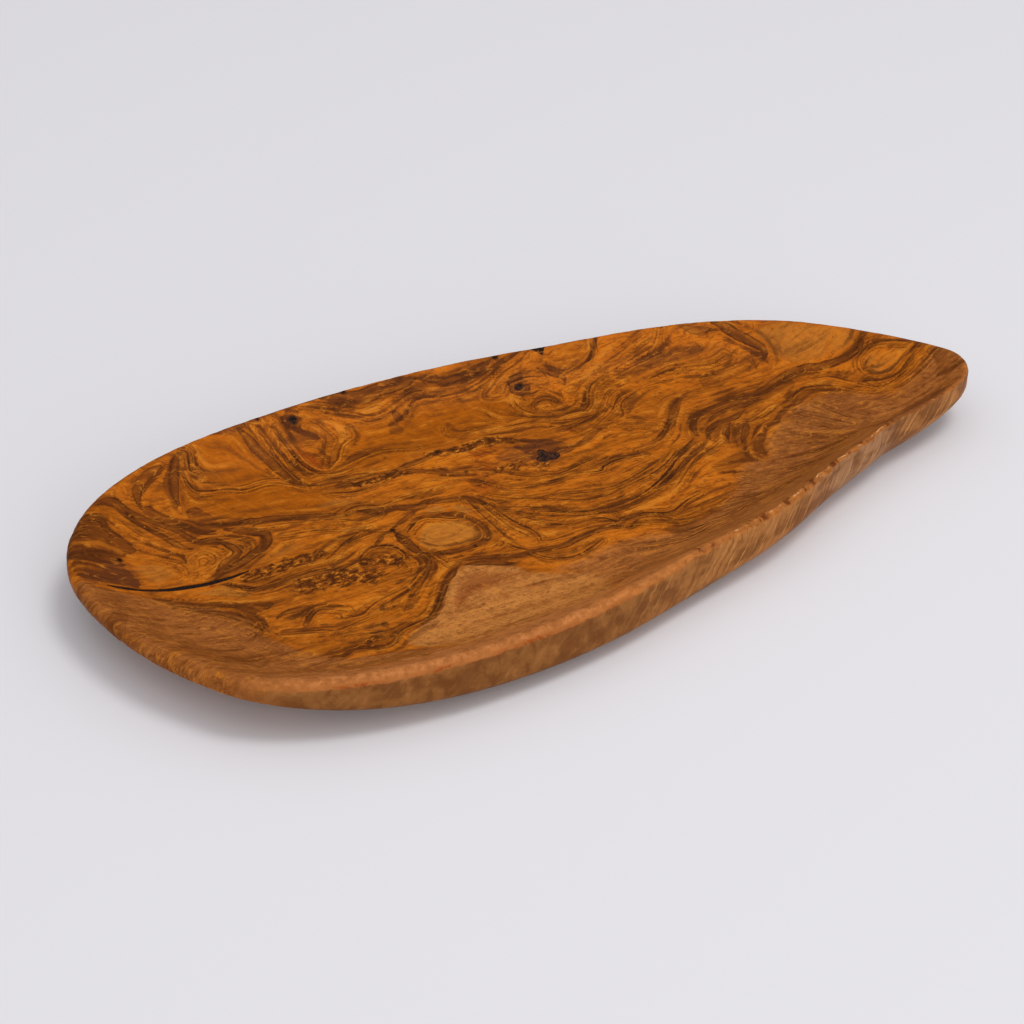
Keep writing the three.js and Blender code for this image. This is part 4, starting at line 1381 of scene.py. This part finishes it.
def prism(name, outline, surface, depth):
    """Upright body over an outline, whose lower end follows the surface at a depth."""
    count = len(outline)
    lower = []
    for x, y in outline * MM:
        hit = surface.ray_cast(Vector((x, y, PROBE_HEIGHT * MM)), Vector((0, 0, -1)))[0]
        lower.append((x, y, hit.z - depth * MM))
    upper = [(x, y, (HEIGHT + CUTTER_RISE) * MM) for x, y, _ in lower]
    sides = [(i, (i + 1) % count) for i in range(count)]
    if not turns_left(outline):
        sides = [(b, a) for a, b in sides]
    cap = triangles_over(outline, count, True)
    faces = [(a, b, b + count, a + count) for a, b in sides]
    faces += [(c, b, a) for a, b, c in cap]
    faces += [(a + count, b + count, c + count) for a, b, c in cap]
    mesh = bpy.data.meshes.new(name)
    mesh.from_pydata(lower + upper, [], faces)
    plan = np.vstack((outline, outline))
    add_bake_plan(mesh, plan, plan, [True] * len(mesh.polygons))
    return new_object(name, mesh)


def sink_top(mesh):
    """Lowers the upper face of a filling unevenly, as shrunk resin or a dried knot lies."""
    for vertex in mesh.vertices:
        if vertex.normal.z > TOP_FACING:
            rough = 0.5 + 0.5 * noise.fractal(vertex.co / MM * SINK_SCALE, *SINK_NOISE)
            vertex.co.z -= FILLING_SINK * (SINK_LEAST + rough) * MM


def keep(piece, node, material):
    """Hands a finished piece to the frame."""
    piece.data.materials.clear()
    piece.data.materials.append(material)
    piece.data.shade_smooth()
    piece.data.set_sharp_from_angle(angle=SHARP_ANGLE)
    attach(piece, "root")
    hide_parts(node)


def build_dish():
    """Board with its pockets, and the filling of each one."""
    blank = board_mesh()
    board = new_object("carved_board", blank.copy())
    surface = BVHTree.FromObject(board, bpy.context.evaluated_depsgraph_get())
    flaws = (
        ("resin_check", "check_filler", "dark_resin", check_outline()),
        ("resin_heart", "heart_filler", "dark_resin", spline(HEART_OUTLINE, True)[:-1]),
        ("knot_left", "dead_knot_left", "dead_knot", knot_outline(*KNOT_LEFT)),
        ("knot_right", "dead_knot_right", "dead_knot", knot_outline(*KNOT_RIGHT)),
    )
    materials = {"dark_resin": dark_resin(), "dead_knot": dead_knot()}
    for seed, (name, node, slot, outline) in enumerate(flaws):
        outline = ragged(outline, seed)
        filling = new_object(name, blank.copy())
        core = prism("core", outline, surface, FILLING_DEPTH)
        pocket = prism("pocket", grown(outline, POCKET_GAP), surface, FILLING_DEPTH + POCKET_GAP)
        boolean(filling, core, "INTERSECT")
        boolean(board, pocket, "DIFFERENCE")
        bpy.data.objects.remove(core)
        bpy.data.objects.remove(pocket)
        sink_top(filling.data)
        keep(filling, node, materials[slot])
    add_figure(board.data)
    keep(board, "board", olive_wood())


def stage_floor():
    """Plain pale floor, far wider than the picture."""
    corners = [(x * STAGE_REACH, y * STAGE_REACH, 0) for x, y in ((-1, -1), (1, -1), (1, 1), (-1, 1))]
    mesh = bpy.data.meshes.new("floor")
    mesh.from_pydata(corners, [], [(0, 1, 2, 3)])
    g = Graph("floor", FLOOR_GLOSS)
    g.put(g.shader["Base Color"], FLOOR_COLOR)
    g.put(g.shader["Roughness"], FLOOR_ROUGHNESS)
    mesh.materials.append(g.material)
    floor = new_object("floor", mesh)


def aim(thing, place, target):
    """Sets a light or camera in its place, facing a target."""
    thing.location = place
    thing.rotation_euler = (Vector(target) - Vector(place)).to_track_quat("-Z", "Y").to_euler()


def soft_box(name, place, size, power):
    """Round soft light that faces the dish."""
    light = bpy.data.lights.new(name, "AREA")
    light.shape = "DISK"
    light.size = size
    light.energy = power
    aim(new_object(name, light), place, (0, 0, 0))


def surroundings():
    """Studio round the dish: a broad pale dome above and behind the camera, darker on the far side."""
    world = bpy.data.worlds.new("surroundings")
    bpy.context.scene.world = world
    world.use_nodes = True
    tree = world.node_tree
    direction = tree.nodes.new("ShaderNodeTexCoord")
    facing = tree.nodes.new("ShaderNodeVectorMath")
    facing.operation = "DOT_PRODUCT"
    tree.links.new(direction.outputs["Generated"], facing.inputs[0])
    facing.inputs[1].default_value = LIGHT_SIDE
    share = tree.nodes.new("ShaderNodeMapRange")
    share.inputs["From Min"].default_value = -1
    tree.links.new(facing.outputs["Value"], share.inputs["Value"])
    ramp = tree.nodes.new("ShaderNodeValToRGB")
    tree.links.new(share.outputs["Result"], ramp.inputs["Fac"])
    ramp.color_ramp.interpolation = "EASE"
    stops = ramp.color_ramp.elements
    while len(stops) < len(SKY):
        stops.new(1.0)
    for stop, (place, level) in zip(stops, SKY):
        stop.position = place
        stop.color = (*(level * tint for tint in SKY_TINT), 1)
    tree.links.new(ramp.outputs["Color"], tree.nodes["Background"].inputs["Color"])


def camera():
    """The photograph's camera."""
    lens = bpy.data.cameras.new("camera")
    lens.lens = CAMERA_LENS
    lens.sensor_width = CAMERA_SENSOR
    lens.dof.use_dof = False
    eye = new_object("camera", lens)
    aim(eye, CAMERA_PLACE, CAMERA_AIM)
    bpy.context.scene.camera = eye


bpy.context.scene.view_settings.view_transform = "Standard"
camera()
surroundings()
for box in SOFT_BOXES:
    soft_box(*box)
stage_floor()
build_dish()
